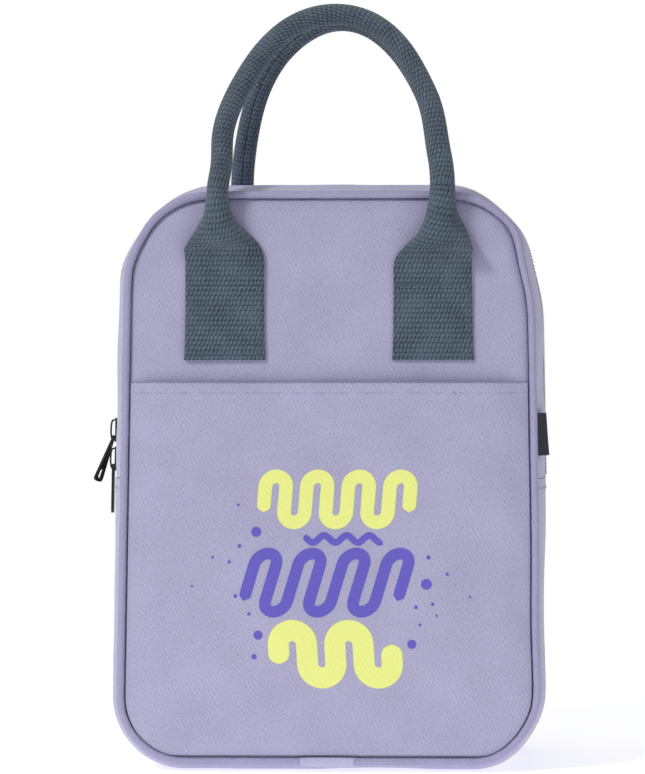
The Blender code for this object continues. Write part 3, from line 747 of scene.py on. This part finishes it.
def pocket_out(s, x, z):
    """How far the pocket's outer face stands in front of the middle of the bag."""
    half = seam_half_width(s, z) - 0.0008
    room = ease((half - np.abs(x)) / 0.015) * ease((z - s.seam_foot) / 0.070)
    slack = 0.0004 * ripple(x, z, 0.09, s.seed + 3) * ease((half - np.abs(x)) / 0.03)
    gape = 0.0010 * np.exp(-((s.pocket_top - z) / 0.016) ** 2) * np.exp(-((x - 0.045) / 0.028) ** 2)
    return (s.half_depth + swell(s, x, z, s.seed) + s.gap + (s.pocket_gape - s.gap) * room
            + (slack + gape) * ease((z - s.seam_foot) / 0.03) + s.canvas)


def ribbon(s, x, z, width):
    """A printed stroke with round ends, laid on the pocket: centre line (x, z) and its full width."""
    run = np.concatenate([[0.0], np.cumsum(np.hypot(np.diff(x), np.diff(z)))])
    ends = np.clip(np.minimum(run, run[-1] - run) / (width / 2), 0.0, 1.0)
    half = width / 2 * np.sqrt(np.clip(1 - (1 - ends) ** 2, 0.01, 1.0))
    dx, dz = np.gradient(x, run), np.gradient(z, run)
    size = np.hypot(dx, dz)
    # Inside a tight turn the stroke stops at the turn's own centre, so it never folds over itself.
    turn = np.gradient(np.unwrap(np.arctan2(dz, dx)), run)
    reach = 0.92 / np.maximum(np.abs(turn), 1e-6)
    left = np.where(turn > 0, np.minimum(half, reach), half)
    right = np.where(turn < 0, np.minimum(half, reach), half)
    a = np.linspace(-1, 1, 9)[None, :]
    width_at = np.where(a > 0, left[:, None], right[:, None]) * a
    px = x[:, None] - (dz / size)[:, None] * width_at
    pz = z[:, None] + (dx / size)[:, None] * width_at
    out = pocket_out(s, px, pz)
    outer = np.stack([px, -(out + 0.00013), pz], -1)
    inner = np.stack([px, -(out + 0.00004), pz], -1)
    grid = np.concatenate([outer, inner[:, ::-1]], 1)
    uv = np.concatenate([grid, grid[:, :1]], 1)[..., [0, 2]]
    return patch(grid, uv=uv)


def meander(s, left, foot, head, radius, turns, width, slant):
    """A printed stroke that runs up and down in straight legs joined by half circles, leaning by slant."""
    low, high = foot + radius, head - radius
    arc = np.linspace(0, math.pi, 24)
    x, z = [], []
    for leg in range(turns + 1):
        here = left + 2 * radius * leg
        rising = leg % 2 == 0
        legs = np.linspace(low, high, 10) if rising else np.linspace(high, low, 10)
        x += [here + 0 * legs]
        z += [legs]
        if leg < turns:
            x += [here + radius - radius * np.cos(arc)[1:-1]]
            z += [(high if rising else low) + (1 if rising else -1) * radius * np.sin(arc)[1:-1]]
    x, z = np.concatenate(x), np.concatenate(z)
    return ribbon(s, x + slant * (z - (low + high) / 2), z, width)


def disc(s, x, z, radius):
    """A printed dot laid on the pocket."""
    turn = np.arange(28) * 2 * math.pi / 28
    px = x + radius * np.cos(turn)
    pz = z + radius * np.sin(turn)
    out = pocket_out(s, px, pz)
    grid = np.stack([np.stack([px, -(out + lift), pz], -1) for lift in (0.00004, 0.00013)])
    uv = np.concatenate([grid, grid[:, :1]], 1)[..., [0, 2]]
    return patch(grid, uv=uv)


class LUNCHBAG_OT_pocket(Operator):
    """Build the patch pocket, its hem stitching and its printed pattern of waves and dots"""

    bl_idname = "lunch_bag.pocket"
    bl_label = "Pocket"

    def execute(self, context):
        s = context.scene.lunch_bag_sizes
        rows = slab_rows(s, 110, s.seam_foot + 0.0009, s.pocket_top - s.hem - 0.0012)
        hem = s.pocket_top - s.hem + np.array([-0.0009, -0.0004, 0.0, 0.0005, 0.0012, 0.0026, 0.0040, 0.0050,
                                               0.0056, 0.0060, 0.0062])
        z = np.concatenate([rows, hem])[:, None]
        t = np.linspace(-1, 1, 111)[None, :]
        x = (0.72 * t + 0.28 * np.sin(t * math.pi / 2)) * (seam_half_width(s, z) - 0.0008)
        z = z + 0 * x
        # The turned hem is a second layer of canvas: a step at its foot, and a rounded fold at the mouth.
        over = z - (s.pocket_top - s.hem)
        double = 0.00055 * ease((over + 0.0009) / 0.0014)
        fold = np.sqrt(np.clip(1 - np.clip((over - 0.0050) / 0.00125, 0, 1) ** 2, 0.0, 1.0))
        drawn = 1 + 0.9 * ripple(x, 0 * x, 0.0065, s.seed + 11)
        dimple = 0.00022 * drawn * np.exp(-((over - 0.0012) / 0.0016) ** 2)
        thick = (s.canvas + double) * (0.08 + 0.92 * fold)
        middle = pocket_out(s, x, z) - s.canvas / 2
        outer = np.stack([x, -(middle + thick / 2 + double / 2 - dimple), z], -1)
        inner = np.stack([x, -(middle - thick / 2 + double / 2 * (1 - fold)), z], -1)
        grid = np.concatenate([outer, inner[:, ::-1]], 1)
        uv = np.concatenate([grid, grid[:, :1]], 1)[..., [0, 2]]
        pocket = mesh_object("patch_pocket", [patch(grid, uv=uv)], material("panel_canvas"))
        place(pocket, "fold", ("pocket_flap", "pocket_base"))

        x = np.linspace(-0.0945, 0.0945, 200)
        z = np.full(200, s.pocket_top - s.hem + 0.0012)
        path = np.stack([x, -(pocket_out(s, x, z) + 0.0004), z], -1)
        row = mesh_object("pocket_stitching", stitches(path, (0, -1, 0), radius=0.00020, lift=0.0),
                          material("sewing_thread"))
        place(row, "fold")

        def wave(left, right, height, rise, turns, phase, width):
            t = np.linspace(0, 1, 150)
            return ribbon(s, left + (right - left) * t,
                          height + rise * np.sin(2 * math.pi * (turns * t + phase)), width)

        lime = [
            meander(s, -0.0310, 0.1208, 0.1430, 0.0050, 7, 0.0066, 0.08),
            meander(s, -0.0240, 0.0458, 0.0688, 0.0068, 4, 0.0102, -0.05),
        ]
        violet = [
            wave(-0.012, 0.026, 0.1128, 0.0017, 3.5, 0.35, 0.0032),
            meander(s, -0.0385, 0.0778, 0.1058, 0.0053, 7, 0.0056, 0.30),
        ]
        dots = [(-0.0349, 0.1162, 0.0024), (0.0470, 0.0911, 0.0026), (-0.0340, 0.0665, 0.0022),
                (0.0400, 0.0622, 0.0022), (-0.0360, 0.0560, 0.0013), (-0.0430, 0.1094, 0.0009),
                (-0.0480, 0.1017, 0.0008), (0.0480, 0.1040, 0.0010), (0.0500, 0.0815, 0.0008),
                (0.0420, 0.0800, 0.0009), (-0.0385, 0.0767, 0.0008), (0.0440, 0.0715, 0.0007),
                (-0.0436, 0.1292, 0.0007), (-0.0450, 0.0853, 0.0009), (0.0570, 0.0960, 0.0008),
                (0.0680, 0.0850, 0.0006), (-0.0560, 0.1040, 0.0007), (-0.0660, 0.0900, 0.0006),
                (0.0520, 0.0760, 0.0006)]
        violet += [disc(s, x, z, radius) for x, z, radius in dots]
        place(mesh_object("print_lime", lime, material("lime_ink")), "fold")
        place(mesh_object("print_violet", violet, material("violet_ink")), "fold")
        return {"FINISHED"}


def gusset_section(s, line, outer_depths, height, seed):
    """Outer and inner faces of a padded gusset: canvas all over, foam except at its sewn edges."""
    depth = np.abs(outer_depths)[None, :]
    soft = ease((s.strip_depth - depth) / 0.012) * ease((depth - s.zip_edge) / 0.006)
    along = line["at"][:, None]
    crease = 0.00045 * ripple(along, outer_depths[None, :], 0.055, seed) * soft
    gather = 0.00028 * ripple(along * 3.2, outer_depths[None, :], 0.050, seed + 9)
    gather = gather * np.exp(-((s.strip_depth - depth - 0.008) / 0.007) ** 2)
    out = height + crease + gather
    foam = ease((0.0585 - depth) / 0.0035) * ease((depth - 0.0095) / 0.004)
    thick = s.canvas + (s.padding - s.canvas) * foam
    return out, out - thick


def gusset(s, name, line, depths, height, seed, finish_name):
    """A closed strip: its outer face, then its inner face back again."""
    out, inner = gusset_section(s, line, depths, height, seed)
    section_out = np.concatenate([out, inner[:, ::-1]], 1)
    section_depth = np.concatenate([depths, depths[::-1]])
    section = patch(carry(line, section_out, section_depth))
    return mesh_object(name, [section], material(finish_name), sharp=50)


def foil_strip(s, line, depths, height, seed):
    """The foil over a gusset's foam, with small creases along it."""
    along = line["at"][:, None]
    sag = 0.0006 * (1 + ripple(along, depths[None, :], 0.035, seed)) * ease((0.0555 - np.abs(depths)) / 0.006)
    top = height - s.padding - 2 * s.gap + 0 * sag
    out = np.concatenate([top, (top - s.lining - sag)[:, ::-1]], 1)
    return patch(carry(line, out, np.concatenate([depths, depths[::-1]])))


def base_flatness(s, line):
    """0 at the folds, and 1 from the start of the foot corners on."""
    level = (s.fold_height - line["z"]) / (s.fold_height - s.seam_foot - s.foot_radius)
    return ease(level)[:, None]


def base_profile(s, depths, flat):
    """Outer height of the base gusset: a strip's at the fold, a flat one with round edges under the bag."""
    edge = np.clip((s.strip_depth - np.abs(depths)) / 0.012, 0.0, 1.0)
    level = s.seam_start + (s.seam_foot - s.seam_start) * np.sqrt(1 - (1 - edge) ** 2)
    return strip_height(s, depths) * (1 - flat) + level * flat


class LUNCHBAG_OT_gussets(Operator):
    """Build the two upper gusset strips, the base gusset and their foil linings"""

    bl_idname = "lunch_bag.gussets"
    bl_label = "Gussets"

    def execute(self, context):
        s = context.scene.lunch_bag_sizes
        reach = np.concatenate([np.linspace(s.strip_depth, 0.0545, 8), np.linspace(0.0530, 0.0140, 24),
                                np.linspace(0.0125, s.zip_edge, 9)])
        line = seam_line(s, "upper", 0.0022, trim=0.00016)
        for word, side, body, seed in (("front", -1, "fold", 31), ("back", 1, "shell", 57)):
            depths = side * reach
            high = upper_height(s, line, depths)
            # Canvas turns under beside the zip, so its last millimetre rolls down.
            tuck = 0.0005 * np.clip((0.0072 - reach) / 0.0016, 0.0, 1.0) ** 2
            piece = gusset(s, word + "_gusset", line, depths, high - tuck, seed, "gusset_canvas_painted_light")
            place(piece, body, (word + "_gusset_strip", word + "_gusset_foam"))
            inner = side * np.linspace(0.0555, 0.0145, 22)
            foil = mesh_object(word + "_gusset_foil",
                               [foil_strip(s, line, inner, upper_height(s, line, inner), seed + 2)],
                               material("foil_film"))
            place(foil, body, (word + "_gusset_lining",))
            # Topstitching beside the zip holds the turned edge to the tape.
            rise = upper_height(s, line, np.array([side * 0.0086])) + 0.0001
            path = carry(line, rise, np.array([side * 0.0086]))[:, 0]
            up = np.stack([line["nx"], 0 * line["nx"], line["nz"]], -1)
            row = mesh_object(word + "_zip_stitching", stitches(path, up, lift=0.0),
                              material("sewing_thread"))
            place(row, body)

        line = seam_line(s, "lower", 0.0024, trim=0.00016)
        half = np.concatenate([np.linspace(-s.strip_depth, -0.0480, 12), np.linspace(-0.0455, -0.0020, 18)])
        depths = np.concatenate([half, -half[::-1]])
        flat = base_flatness(s, line)
        along = line["at"][:, None]
        high = base_profile(s, depths[None, :], flat)
        soft = ease((s.strip_depth - np.abs(depths)) / 0.012)[None, :]
        crease = 0.0005 * ripple(along, depths[None, :], 0.060, 83) * soft
        lift = np.minimum(crease, 0.0004 * (1 - flat)) - 0.0002 * flat * soft
        out = np.where(flat > 0.995, np.minimum(high + lift, s.seam_foot), high + lift)
        foam = ease((0.0585 - np.abs(depths)) / 0.0035)[None, :]
        inner = out - s.canvas - (s.padding - s.canvas) * foam
        grid = carry(line, np.concatenate([out, inner[:, ::-1]], 1), np.concatenate([depths, depths[::-1]]))
        base = mesh_object("base_gusset_padded", [patch(grid)], material("gusset_canvas_painted_light"), sharp=50)
        place(base, "fold", ("base_gusset", "base_gusset_foam"))
        inner = np.linspace(-0.0555, 0.0555, 45)
        foil = mesh_object("base_gusset_foil",
                           [foil_strip(s, line, inner, base_profile(s, inner[None, :], flat), 85)],
                           material("foil_film"))
        place(foil, "fold", ("base_gusset_lining",))
        # Where the strips meet the base gusset the seam is topstitched flat, across each side.
        y = np.linspace(-0.0560, 0.0560, 90)
        rows = []
        for end in (2, -3):
            rise = np.interp(y, depths, out[end])
            path = np.stack([line["x"][end] + line["nx"][end] * rise, y,
                             line["z"][end] + line["nz"][end] * rise], -1)
            rows += stitches(path, (line["nx"][end], 0, line["nz"][end]))
        row = mesh_object("side_seam_stitching", rows, material("sewing_thread"))
        place(row, "fold")
        return {"FINISHED"}


class LUNCHBAG_OT_piping(Operator):
    """Build the piping, the sleeve over its join and the inner seam bindings"""

    bl_idname = "lunch_bag.piping"
    bl_label = "Piping"

    def execute(self, context):
        s = context.scene.lunch_bag_sizes
        line = seam_line(s, "whole", 0.0016)
        turn = np.arange(14) * 2 * math.pi / 14
        for word, side, body, nodes in (("front", -1, "fold", ("front_piping_flap", "front_piping_base")),
                                        ("back", 1, "shell", ("back_piping",))):
            # The cord inside is round; its bias cover puckers slightly every few millimetres.
            radius = s.piping_radius * (1 + 0.035 * ripple(line["at"], 0 * line["at"], 0.006, 11)[:, None])
            out = s.piping_out + radius * np.cos(turn)[None, :]
            depth = side * s.piping_depth + radius * np.sin(turn)[None, :]
            cord = mesh_object(word + "_cord_piping", [patch(carry(line, out, depth), wrap_u=True)],
                               material("piping_bias_painted_shade"))
            place(cord, body, nodes)
            # The binding is a folded tape over the seam allowance inside.
            inner = s.half_depth - s.padding - s.lining - 2 * s.gap
            box = 0.0015 * np.sign(np.cos(turn)) * np.abs(np.cos(turn)) ** 0.5
            high = 0.0015 * np.sign(np.sin(turn)) * np.abs(np.sin(turn)) ** 0.5
            tape = carry(line, -0.0068 + box, side * (inner - 0.0015) + high)
            nodes = [n for n in frame["nodes"] if n.startswith(word + "_binding")]
            bound = mesh_object(word + "_seam_binding", [patch(tape, wrap_u=True)], material("binding_tape"))
            place(bound, body, nodes)
        # The sleeve is a short half tube in front of the cord, a little wider in its middle.
        low, high = (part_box("piping_join_patch")[k][0] for k in (0, 1))
        x = np.linspace(low, high, 30)[:, None]
        swelling = 0.0002 * np.sin(math.pi * (x - low) / (high - low))
        arc = np.radians(np.linspace(52, -102, 16))[None, :]
        inner = s.piping_radius + s.gap + 0 * x
        outer = inner + 0.0004 + swelling
        radius = np.concatenate([outer + 0 * arc, inner + 0 * arc], 1)
        arc = np.concatenate([arc, arc[:, ::-1]], 1)
        grid = np.stack([x + 0 * arc, -s.piping_depth - radius * np.cos(arc),
                         s.seam_foot - s.piping_out + radius * np.sin(arc)], -1)
        sleeve = mesh_object("piping_sleeve", [patch(grid)], material("gusset_canvas_painted_light"))
        place(sleeve, "shell", ("piping_join_patch",))
        return {"FINISHED"}


def turned_pull(name, node, joint):
    """A copy of a pull that has turned on its loose ring, so its flat side faces partly forward.

    Below the ring each point turns about the line from the pivot to the pull's foot, up to PULL_TURN.
    """
    mesh = frame["nodes"][node].data.copy()
    # The frame's meshes are loose triangles, so the copy is merged first.
    merged = bmesh.new()
    merged.from_mesh(mesh)
    bmesh.ops.remove_doubles(merged, verts=merged.verts, dist=1e-6)
    merged.to_mesh(mesh)
    merged.free()
    points = np.array([v.co for v in mesh.vertices])
    pivot = np.array(next(j["pos_m"] for j in frame["joints"] if j["name"] == joint))
    foot = points[points[:, 2] < points[:, 2].min() + 0.002].mean(0)
    way = (foot - pivot) / np.linalg.norm(foot - pivot)
    reach = points - pivot
    along = reach @ way
    angle = PULL_TURN * ease((along - 0.0025) / 0.0060)
    across = reach - along[:, None] * way
    turned = across * np.cos(angle)[:, None] + np.cross(way, across) * np.sin(angle)[:, None]
    mesh.vertices.foreach_set("co", (pivot + along[:, None] * way + turned).astype(np.float32).ravel())
    mesh.update()
    obj = bpy.data.objects.new(name, mesh)
    bpy.context.scene.collection.objects.link(obj)
    return obj


class LUNCHBAG_OT_zip(Operator):
    """Build the zip's woven tapes and coils, and finish its sliders and pulls"""

    bl_idname = "lunch_bag.zip"
    bl_label = "Zip"

    def execute(self, context):
        s = context.scene.lunch_bag_sizes
        line = seam_line(s, "upper", 0.0022, trim=s.gap)
        for word, side, body in (("front", -1, "fold"), ("back", 1, "shell")):
            depths = side * np.linspace(0.0007, 0.0119, 12)
            out = np.concatenate([TAPE_OUTER + 0 * depths, TAPE_INNER + 0 * depths]) - zip_drop(s, line)
            faces = patch(carry(line, out, np.concatenate([depths, depths[::-1]])))
            tape = mesh_object(word + "_tape", [faces], material("zip_tape_weave"), sharp=60)
            place(tape, body, (word + "_zip_tape",))
            # The coil is a flattened helix of nylon wire, sewn to the tape's edge.
            total = seam_line(s, "upper", 0.01)["total"]
            turns = int(total / s.coil_pitch)
            steps = 12
            count = turns * steps
            fine = seam_line(s, "upper", total / count)
            phase = np.arange(len(fine["x"])) * 2 * math.pi / steps
            keep = slice(6, -6)
            core = COIL_MIDDLE - zip_drop(s, fine)[:, 0]
            out = core + 0.00072 * np.cos(phase)
            depth = side * (0.00200 + 0.00102 * np.sin(phase))
            path = np.stack([fine["x"] + fine["nx"] * out, depth, fine["z"] + fine["nz"] * out], -1)[keep]
            middle = np.stack([fine["x"] + fine["nx"] * core, 0 * out + side * 0.0020,
                               fine["z"] + fine["nz"] * core], -1)[keep]
            coil = mesh_object(word + "_coil", [patch(tube(path, s.coil_wire, path - middle, sides=5))],
                               material("zip_nylon"), sharp=80)
            place(coil, body, (word + "_zip_coil",))
        pull = turned_pull("upper_pull_turned", "upper_pull_tab", "upper_pull_swing")
        place(pull, "upper_pull", ("upper_pull_tab",))
        nodes = frame["nodes"]
        for metal in (nodes["upper_slider_body"], nodes["lower_slider_body"], pull, nodes["lower_pull_tab"]):
            metal.data.materials.clear()
            metal.data.materials.append(material("plated_gunmetal"))
            soft = metal.modifiers.new("soft edges", "BEVEL")
            soft.width = 0.00018
            soft.segments = 2
            soft.limit_method = "ANGLE"
        return {"FINISHED"}


def handle_path(s, side):
    """Centre line of a handle from its left foot to its right.

    Each leg is flat on the panel, then moves clear of the piping as it rolls up. The arch is half an
    ellipse that leans towards the middle of the bag, pinched at its shoulders and swayed to the right.
    """
    flat_y = s.half_depth + s.gap + s.webbing_thickness / 2
    z = np.arange(s.tab_foot, s.arch_base, 0.0013)
    t = np.clip((z - s.tab_head) / (s.arch_base - s.tab_head), 0.0, 1.0)
    front = side < 0
    half = s.arch_half if front else s.back_half
    leg_x = s.handle_spacing + (half - s.handle_spacing) * ease(t)
    leg_y = flat_y + (s.leg_depth - flat_y) * ease(t * 1.25)
    turn = np.linspace(0, math.pi, 150)
    rise = (s.front_rise if front else s.back_rise) * np.sin(turn)
    pinch = 1 - (s.arch_pinch if front else 0.0) * np.sin(2 * turn) ** 2
    x = np.concatenate([-leg_x, -half * np.cos(turn) * pinch, leg_x[::-1]])
    y = np.concatenate([leg_y, s.leg_depth - rise * math.tan(s.arch_lean), leg_y[::-1]])
    height = np.concatenate([z, s.arch_base + rise, z[::-1]])
    # Carried handles set crooked: each arch leans towards the right, the back one rather more.
    way = np.clip(x / (0.6 * half), -1.0, 1.0)
    if front:
        sway = (0.0015 + 0.0019 * way) * ease((height - 0.298) / 0.030)
        sway = sway + 0.0028 * (x < 0) * np.exp(-((height - 0.2930) / 0.0130) ** 2)
    else:
        sway = (0.0038 + 0.0017 * way) * ease((height - 0.262) / 0.020)
    return np.stack([x + sway, side * y, height], -1)


def handle_roll(height, low, high):
    """How far one half of the webbing is rolled at each height, between the heights low and high."""
    return ease((height - low) / (high - low))


def handle_mesh(s, name, side):
    """Webbing carried along the handle's path: a flat strip whose halves curl back until they meet.

    Each half of the cross-section is an arc of steady length whose angle grows from 0 to half a turn.
    """
    path = handle_path(s, side)
    ahead = np.gradient(path, axis=0)
    ahead /= np.linalg.norm(ahead, axis=1, keepdims=True)
    across = np.cross(ahead, np.array([0.0, side, 0.0]))
    across /= np.linalg.norm(across, axis=1, keepdims=True)
    face = np.cross(across, ahead)
    height = path[:, 2]
    right = path[:, 0] > 0
    # The ends weren't rolled alike: one leg's inner half folds over in an abrupt shoulder.
    abrupt = right == (side < 0)
    rolls = (handle_roll(height, 0.2500, np.where(abrupt, s.roll_head, 0.2820)),
             handle_roll(height, np.where(abrupt, 0.2410, 0.2440), np.where(abrupt, 0.2680, 0.2740)))
    rise = np.clip((height - s.arch_base) / s.front_rise, 0.0, 1.0)
    lean = 0.5 + 0.5 * np.clip(path[:, 0] * -side / s.arch_half, -1.0, 1.0)
    wide = (0.84 + 0.16 * lean * (1 - rise))[:, None]
    whole = np.minimum(*rolls)[:, None]
    steps = 16
    halves = []
    dips = []
    for sign, roll in zip((-1, 1), rolls):
        roll = roll[:, None]
        share = np.linspace(0, 1, steps)[None, :]
        flare = 0.0007 * np.exp(-(height[:, None] - s.tab_foot) / 0.010)
        spread = 0.0009 * np.exp(-((height[:, None] - 0.2570) / 0.0080) ** 2)
        half_length = s.webbing_width / 2 - 0.0036 * roll + flare + spread
        bend = np.maximum(roll * (math.pi - 0.03), 1e-3)
        radius = half_length / bend
        angle = bend * share
        stretch = 1 + (wide - 1) * roll
        halves.append((sign * stretch * radius * np.sin(angle), -radius * (1 - np.cos(angle)),
                       sign * share * s.webbing_width / 2 + 0 * roll))
        dips.append(radius * (1 - np.cos(bend)))
    a = np.concatenate([halves[0][0][:, ::-1], halves[1][0][:, 1:]], 1)
    f = np.concatenate([halves[0][1][:, ::-1], halves[1][1][:, 1:]], 1)
    u = np.concatenate([halves[0][2][:, ::-1], halves[1][2][:, 1:]], 1)
    # Where an edge curls back first, the webbing stands off by as much, so the edge stays on the panel.
    flat_y = s.half_depth + s.gap + s.webbing_thickness / 2
    ahead_of_panel = path[:, 1:2] * side - flat_y
    on_panel = 1 - ease((height[:, None] - 0.2680) / 0.0160)
    f = f + np.maximum(0.0049 * whole, (np.maximum(*dips) - ahead_of_panel) * on_panel)
    da, df = np.gradient(a, axis=1), np.gradient(f, axis=1)
    size = np.hypot(da, df)
    na, nf = -df / size, da / size
    # The selvedges are a little thinner than the middle.
    edge = 1 - 0.45 * np.clip((np.abs(u) / (s.webbing_width / 2) - 0.93) / 0.07, 0.0, 1.0) ** 2
    half = s.webbing_thickness / 2 * edge
    sections = []
    for sign in (1, -1):
        pa = a + sign * na * half
        pf = f + sign * nf * half
        sections.append((pa, pf) if sign > 0 else (pa[:, ::-1], pf[:, ::-1]))
    pa = np.concatenate([sections[0][0], sections[1][0]], 1)
    pf = np.concatenate([sections[0][1], sections[1][1]], 1)
    # Webbing flexes a little along its length.
    run = np.concatenate([[0.0], np.cumsum(np.linalg.norm(np.diff(path, axis=0), axis=1))])
    free = ease((height - s.tab_head) / 0.03)
    wander = 0.0007 * ripple(run, 0 * run, 0.09, 60 + side)[:, None] * free[:, None]
    grid = path[:, None] + across[:, None] * (pa + wander)[..., None] + face[:, None] * pf[..., None]
    width_u = np.concatenate([u, u[:, ::-1], u[:, :1]], 1) + s.webbing_width / 2
    uv = np.stack([width_u, np.broadcast_to(run[:, None], width_u.shape)], -1)
    return mesh_object(name, [patch(grid, uv=uv)], material("cotton_webbing"), sharp=60)


class LUNCHBAG_OT_handles(Operator):
    """Build the two webbing handles and the stitching of their ends"""

    bl_idname = "lunch_bag.handles"
    bl_label = "Handles"

    def execute(self, context):
        s = context.scene.lunch_bag_sizes
        for word, side, body in (("front", -1, "front_flap"), ("back", 1, "shell")):
            obj = handle_mesh(s, word + "_handle", side)
            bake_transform(obj)
            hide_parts(word + "_handle_loop", word + "_handle_left_end", word + "_handle_right_end")
            rows = []
            face = side * (s.half_depth + s.gap + s.webbing_thickness)
            for end in (-1, 1):
                for z in (s.tab_foot + 0.0030, s.tab_foot + 0.0350):
                    x = end * s.handle_spacing + np.linspace(-0.0165, 0.0165, 20)
                    path = np.stack([x, face + 0 * x, z + 0 * x], -1)
                    rows += stitches(path, (0, side, 0), pitch=0.0033, radius=0.00032)
                for edge in (-0.0165, 0.0165):
                    z = np.linspace(s.tab_foot + 0.0030, s.tab_foot + 0.0350, 20)
                    path = np.stack([end * s.handle_spacing + edge + 0 * z, face + 0 * z, z], -1)
                    rows += stitches(path, (0, side, 0), pitch=0.0033, radius=0.00030)
            row = mesh_object(word + "_handle_stitching", rows, material("webbing_thread"))
            place(row, body)
        return {"FINISHED"}


class LUNCHBAG_OT_label(Operator):
    """Build the small blank woven label in the right-hand seam"""

    bl_idname = "lunch_bag.label"
    bl_label = "Label"

    def execute(self, context):
        s = context.scene.lunch_bag_sizes
        z = np.linspace(s.label_foot, s.label_head, 26)
        tilt = side_tilt(s)
        line = {"x": side_half(s, z), "z": z, "nx": math.cos(tilt) + 0 * z, "nz": math.sin(tilt) + 0 * z}
        depths = -np.linspace(s.label_near, s.label_far, 24)
        share = (s.label_near + depths) / (s.label_near - s.label_far)
        # Its free edge stands off the gusset, most at the foot.
        curl = (0.0012 + 0.0014 * (s.label_head - z[:, None]) / (s.label_head - s.label_foot)) * ease(share)
        lift = 0.00035 + curl + 0.0002 * ripple(z[:, None], depths[None, :], 0.03, 71)
        lift = np.maximum(lift, 0.0003)
        high = strip_height(s, depths)[None, :] + lift
        out = np.concatenate([high + 0.0006, high[:, ::-1]], 1)
        grid = carry(line, out, np.concatenate([depths, depths[::-1]]))
        label = mesh_object("blank_label", [patch(grid)], material("woven_label"))
        place(label, "fold", ("side_label",))
        return {"FINISHED"}


class LUNCHBAG_OT_stage(Operator):
    """Set up the floor, lights, world and camera"""

    bl_idname = "lunch_bag.stage"
    bl_label = "Stage"

    def execute(self, context):
        scene = context.scene
        corners = np.array([[[-0.9, -0.9, 0], [-0.9, 0.9, 0]], [[0.9, -0.9, 0], [0.9, 0.9, 0]]], float)
        paper, tree, shader = finish("white_paper", Roughness=0.9, Specular_IOR_Level=0.1,
                                     Emission_Color=(1, 1, 1, 1), Emission_Strength=0.50)
        # Seamless paper: a faint cloudiness keeps it from looking like a void.
        here = add(tree, "ShaderNodeTexCoord", out="Object")
        cloud = add(tree, "ShaderNodeTexNoise", {0: here, "Scale": 3.0})
        shade = add(tree, "ShaderNodeMix", {0: cloud, 6: (0.93, 0.93, 0.93, 1), 7: (0.97, 0.97, 0.97, 1)},
                    out=2, data_type="RGBA")
        tree.links.new(shade, shader.inputs["Base Color"])
        floor = mesh_object("floor", [patch(corners, wrap_v=False)], paper)
        lamps = (("key", (-1.5, -1.7, 1.7), 0.6, 33.0), ("fill", (1.7, -1.6, 0.9), 1.6, 7.0),
                 ("top", (-0.2, 0.2, 2.2), 1.6, 13.0))
        for name, at, size, power in lamps:
            lamp = bpy.data.lights.new(name, "AREA")
            lamp.size = size
            lamp.energy = power
            obj = bpy.data.objects.new(name, lamp)
            obj.location = at
            aim = np.array([0.0, 0.0, 0.16]) - np.array(at)
            flat = math.hypot(aim[0], aim[1])
            obj.rotation_euler = (math.atan2(flat, -aim[2]), 0.0, math.atan2(aim[1], aim[0]) - math.pi / 2)
            scene.collection.objects.link(obj)
        world = bpy.data.worlds.new("studio")
        world.use_nodes = True
        tree = world.node_tree
        tree.nodes.clear()
        seen = add(tree, "ShaderNodeLightPath", out="Is Camera Ray")
        plain = add(tree, "ShaderNodeBackground", {"Color": (1, 1, 1, 1), "Strength": 1.0})
        soft = add(tree, "ShaderNodeBackground", {"Color": (0.95, 0.97, 1.0, 1), "Strength": 0.27})
        both = add(tree, "ShaderNodeMixShader", {0: seen, 1: soft, 2: plain})
        add_output = tree.nodes.new("ShaderNodeOutputWorld")
        tree.links.new(both, add_output.inputs[0])
        scene.world = world
        camera = bpy.data.cameras.new("camera")
        camera.sensor_fit = "HORIZONTAL"
        camera.sensor_width = 36.0
        camera.lens = 196.5
        eye = bpy.data.objects.new("camera", camera)
        eye.location = (0.0414, -1.7619, 0.1860)
        eye.rotation_euler = (math.pi / 2, 0.0, math.radians(1.5))
        scene.collection.objects.link(eye)
        scene.camera = eye
        scene.view_settings.view_transform = "Standard"
        scene.view_settings.look = "None"
        return {"FINISHED"}


class LUNCHBAG_PT_pieces(Panel):
    """Lists the bag's pieces and sizes in the sidebar"""

    bl_idname = "LUNCHBAG_PT_pieces"
    bl_label = "Lunch Bag"
    bl_space_type = "VIEW_3D"
    bl_region_type = "UI"
    bl_category = "Lunch Bag"

    def draw(self, context):
        for operator in OPERATORS:
            self.layout.operator(operator.bl_idname)
        for group in (context.scene.lunch_bag_sizes, context.scene.lunch_bag_colours):
            column = self.layout.column()
            for key in group.__annotations__:
                column.prop(group, key)


OPERATORS = (LUNCHBAG_OT_panels, LUNCHBAG_OT_pocket, LUNCHBAG_OT_gussets, LUNCHBAG_OT_piping, LUNCHBAG_OT_zip,
             LUNCHBAG_OT_handles, LUNCHBAG_OT_label, LUNCHBAG_OT_stage)
CLASSES = (BagSizes, BagColours, *OPERATORS, LUNCHBAG_PT_pieces)


def register():
    for item in CLASSES:
        bpy.utils.register_class(item)
    bpy.types.Scene.lunch_bag_sizes = PointerProperty(type=BagSizes)
    bpy.types.Scene.lunch_bag_colours = PointerProperty(type=BagColours)


def unregister():
    del bpy.types.Scene.lunch_bag_colours
    del bpy.types.Scene.lunch_bag_sizes
    for item in reversed(CLASSES):
        bpy.utils.unregister_class(item)


def main():
    register()
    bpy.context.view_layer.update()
    for step in ("panels", "pocket", "gussets", "piping", "zip", "handles", "label", "stage"):
        getattr(bpy.ops.lunch_bag, step)()


if __name__ == "__main__":
    main()
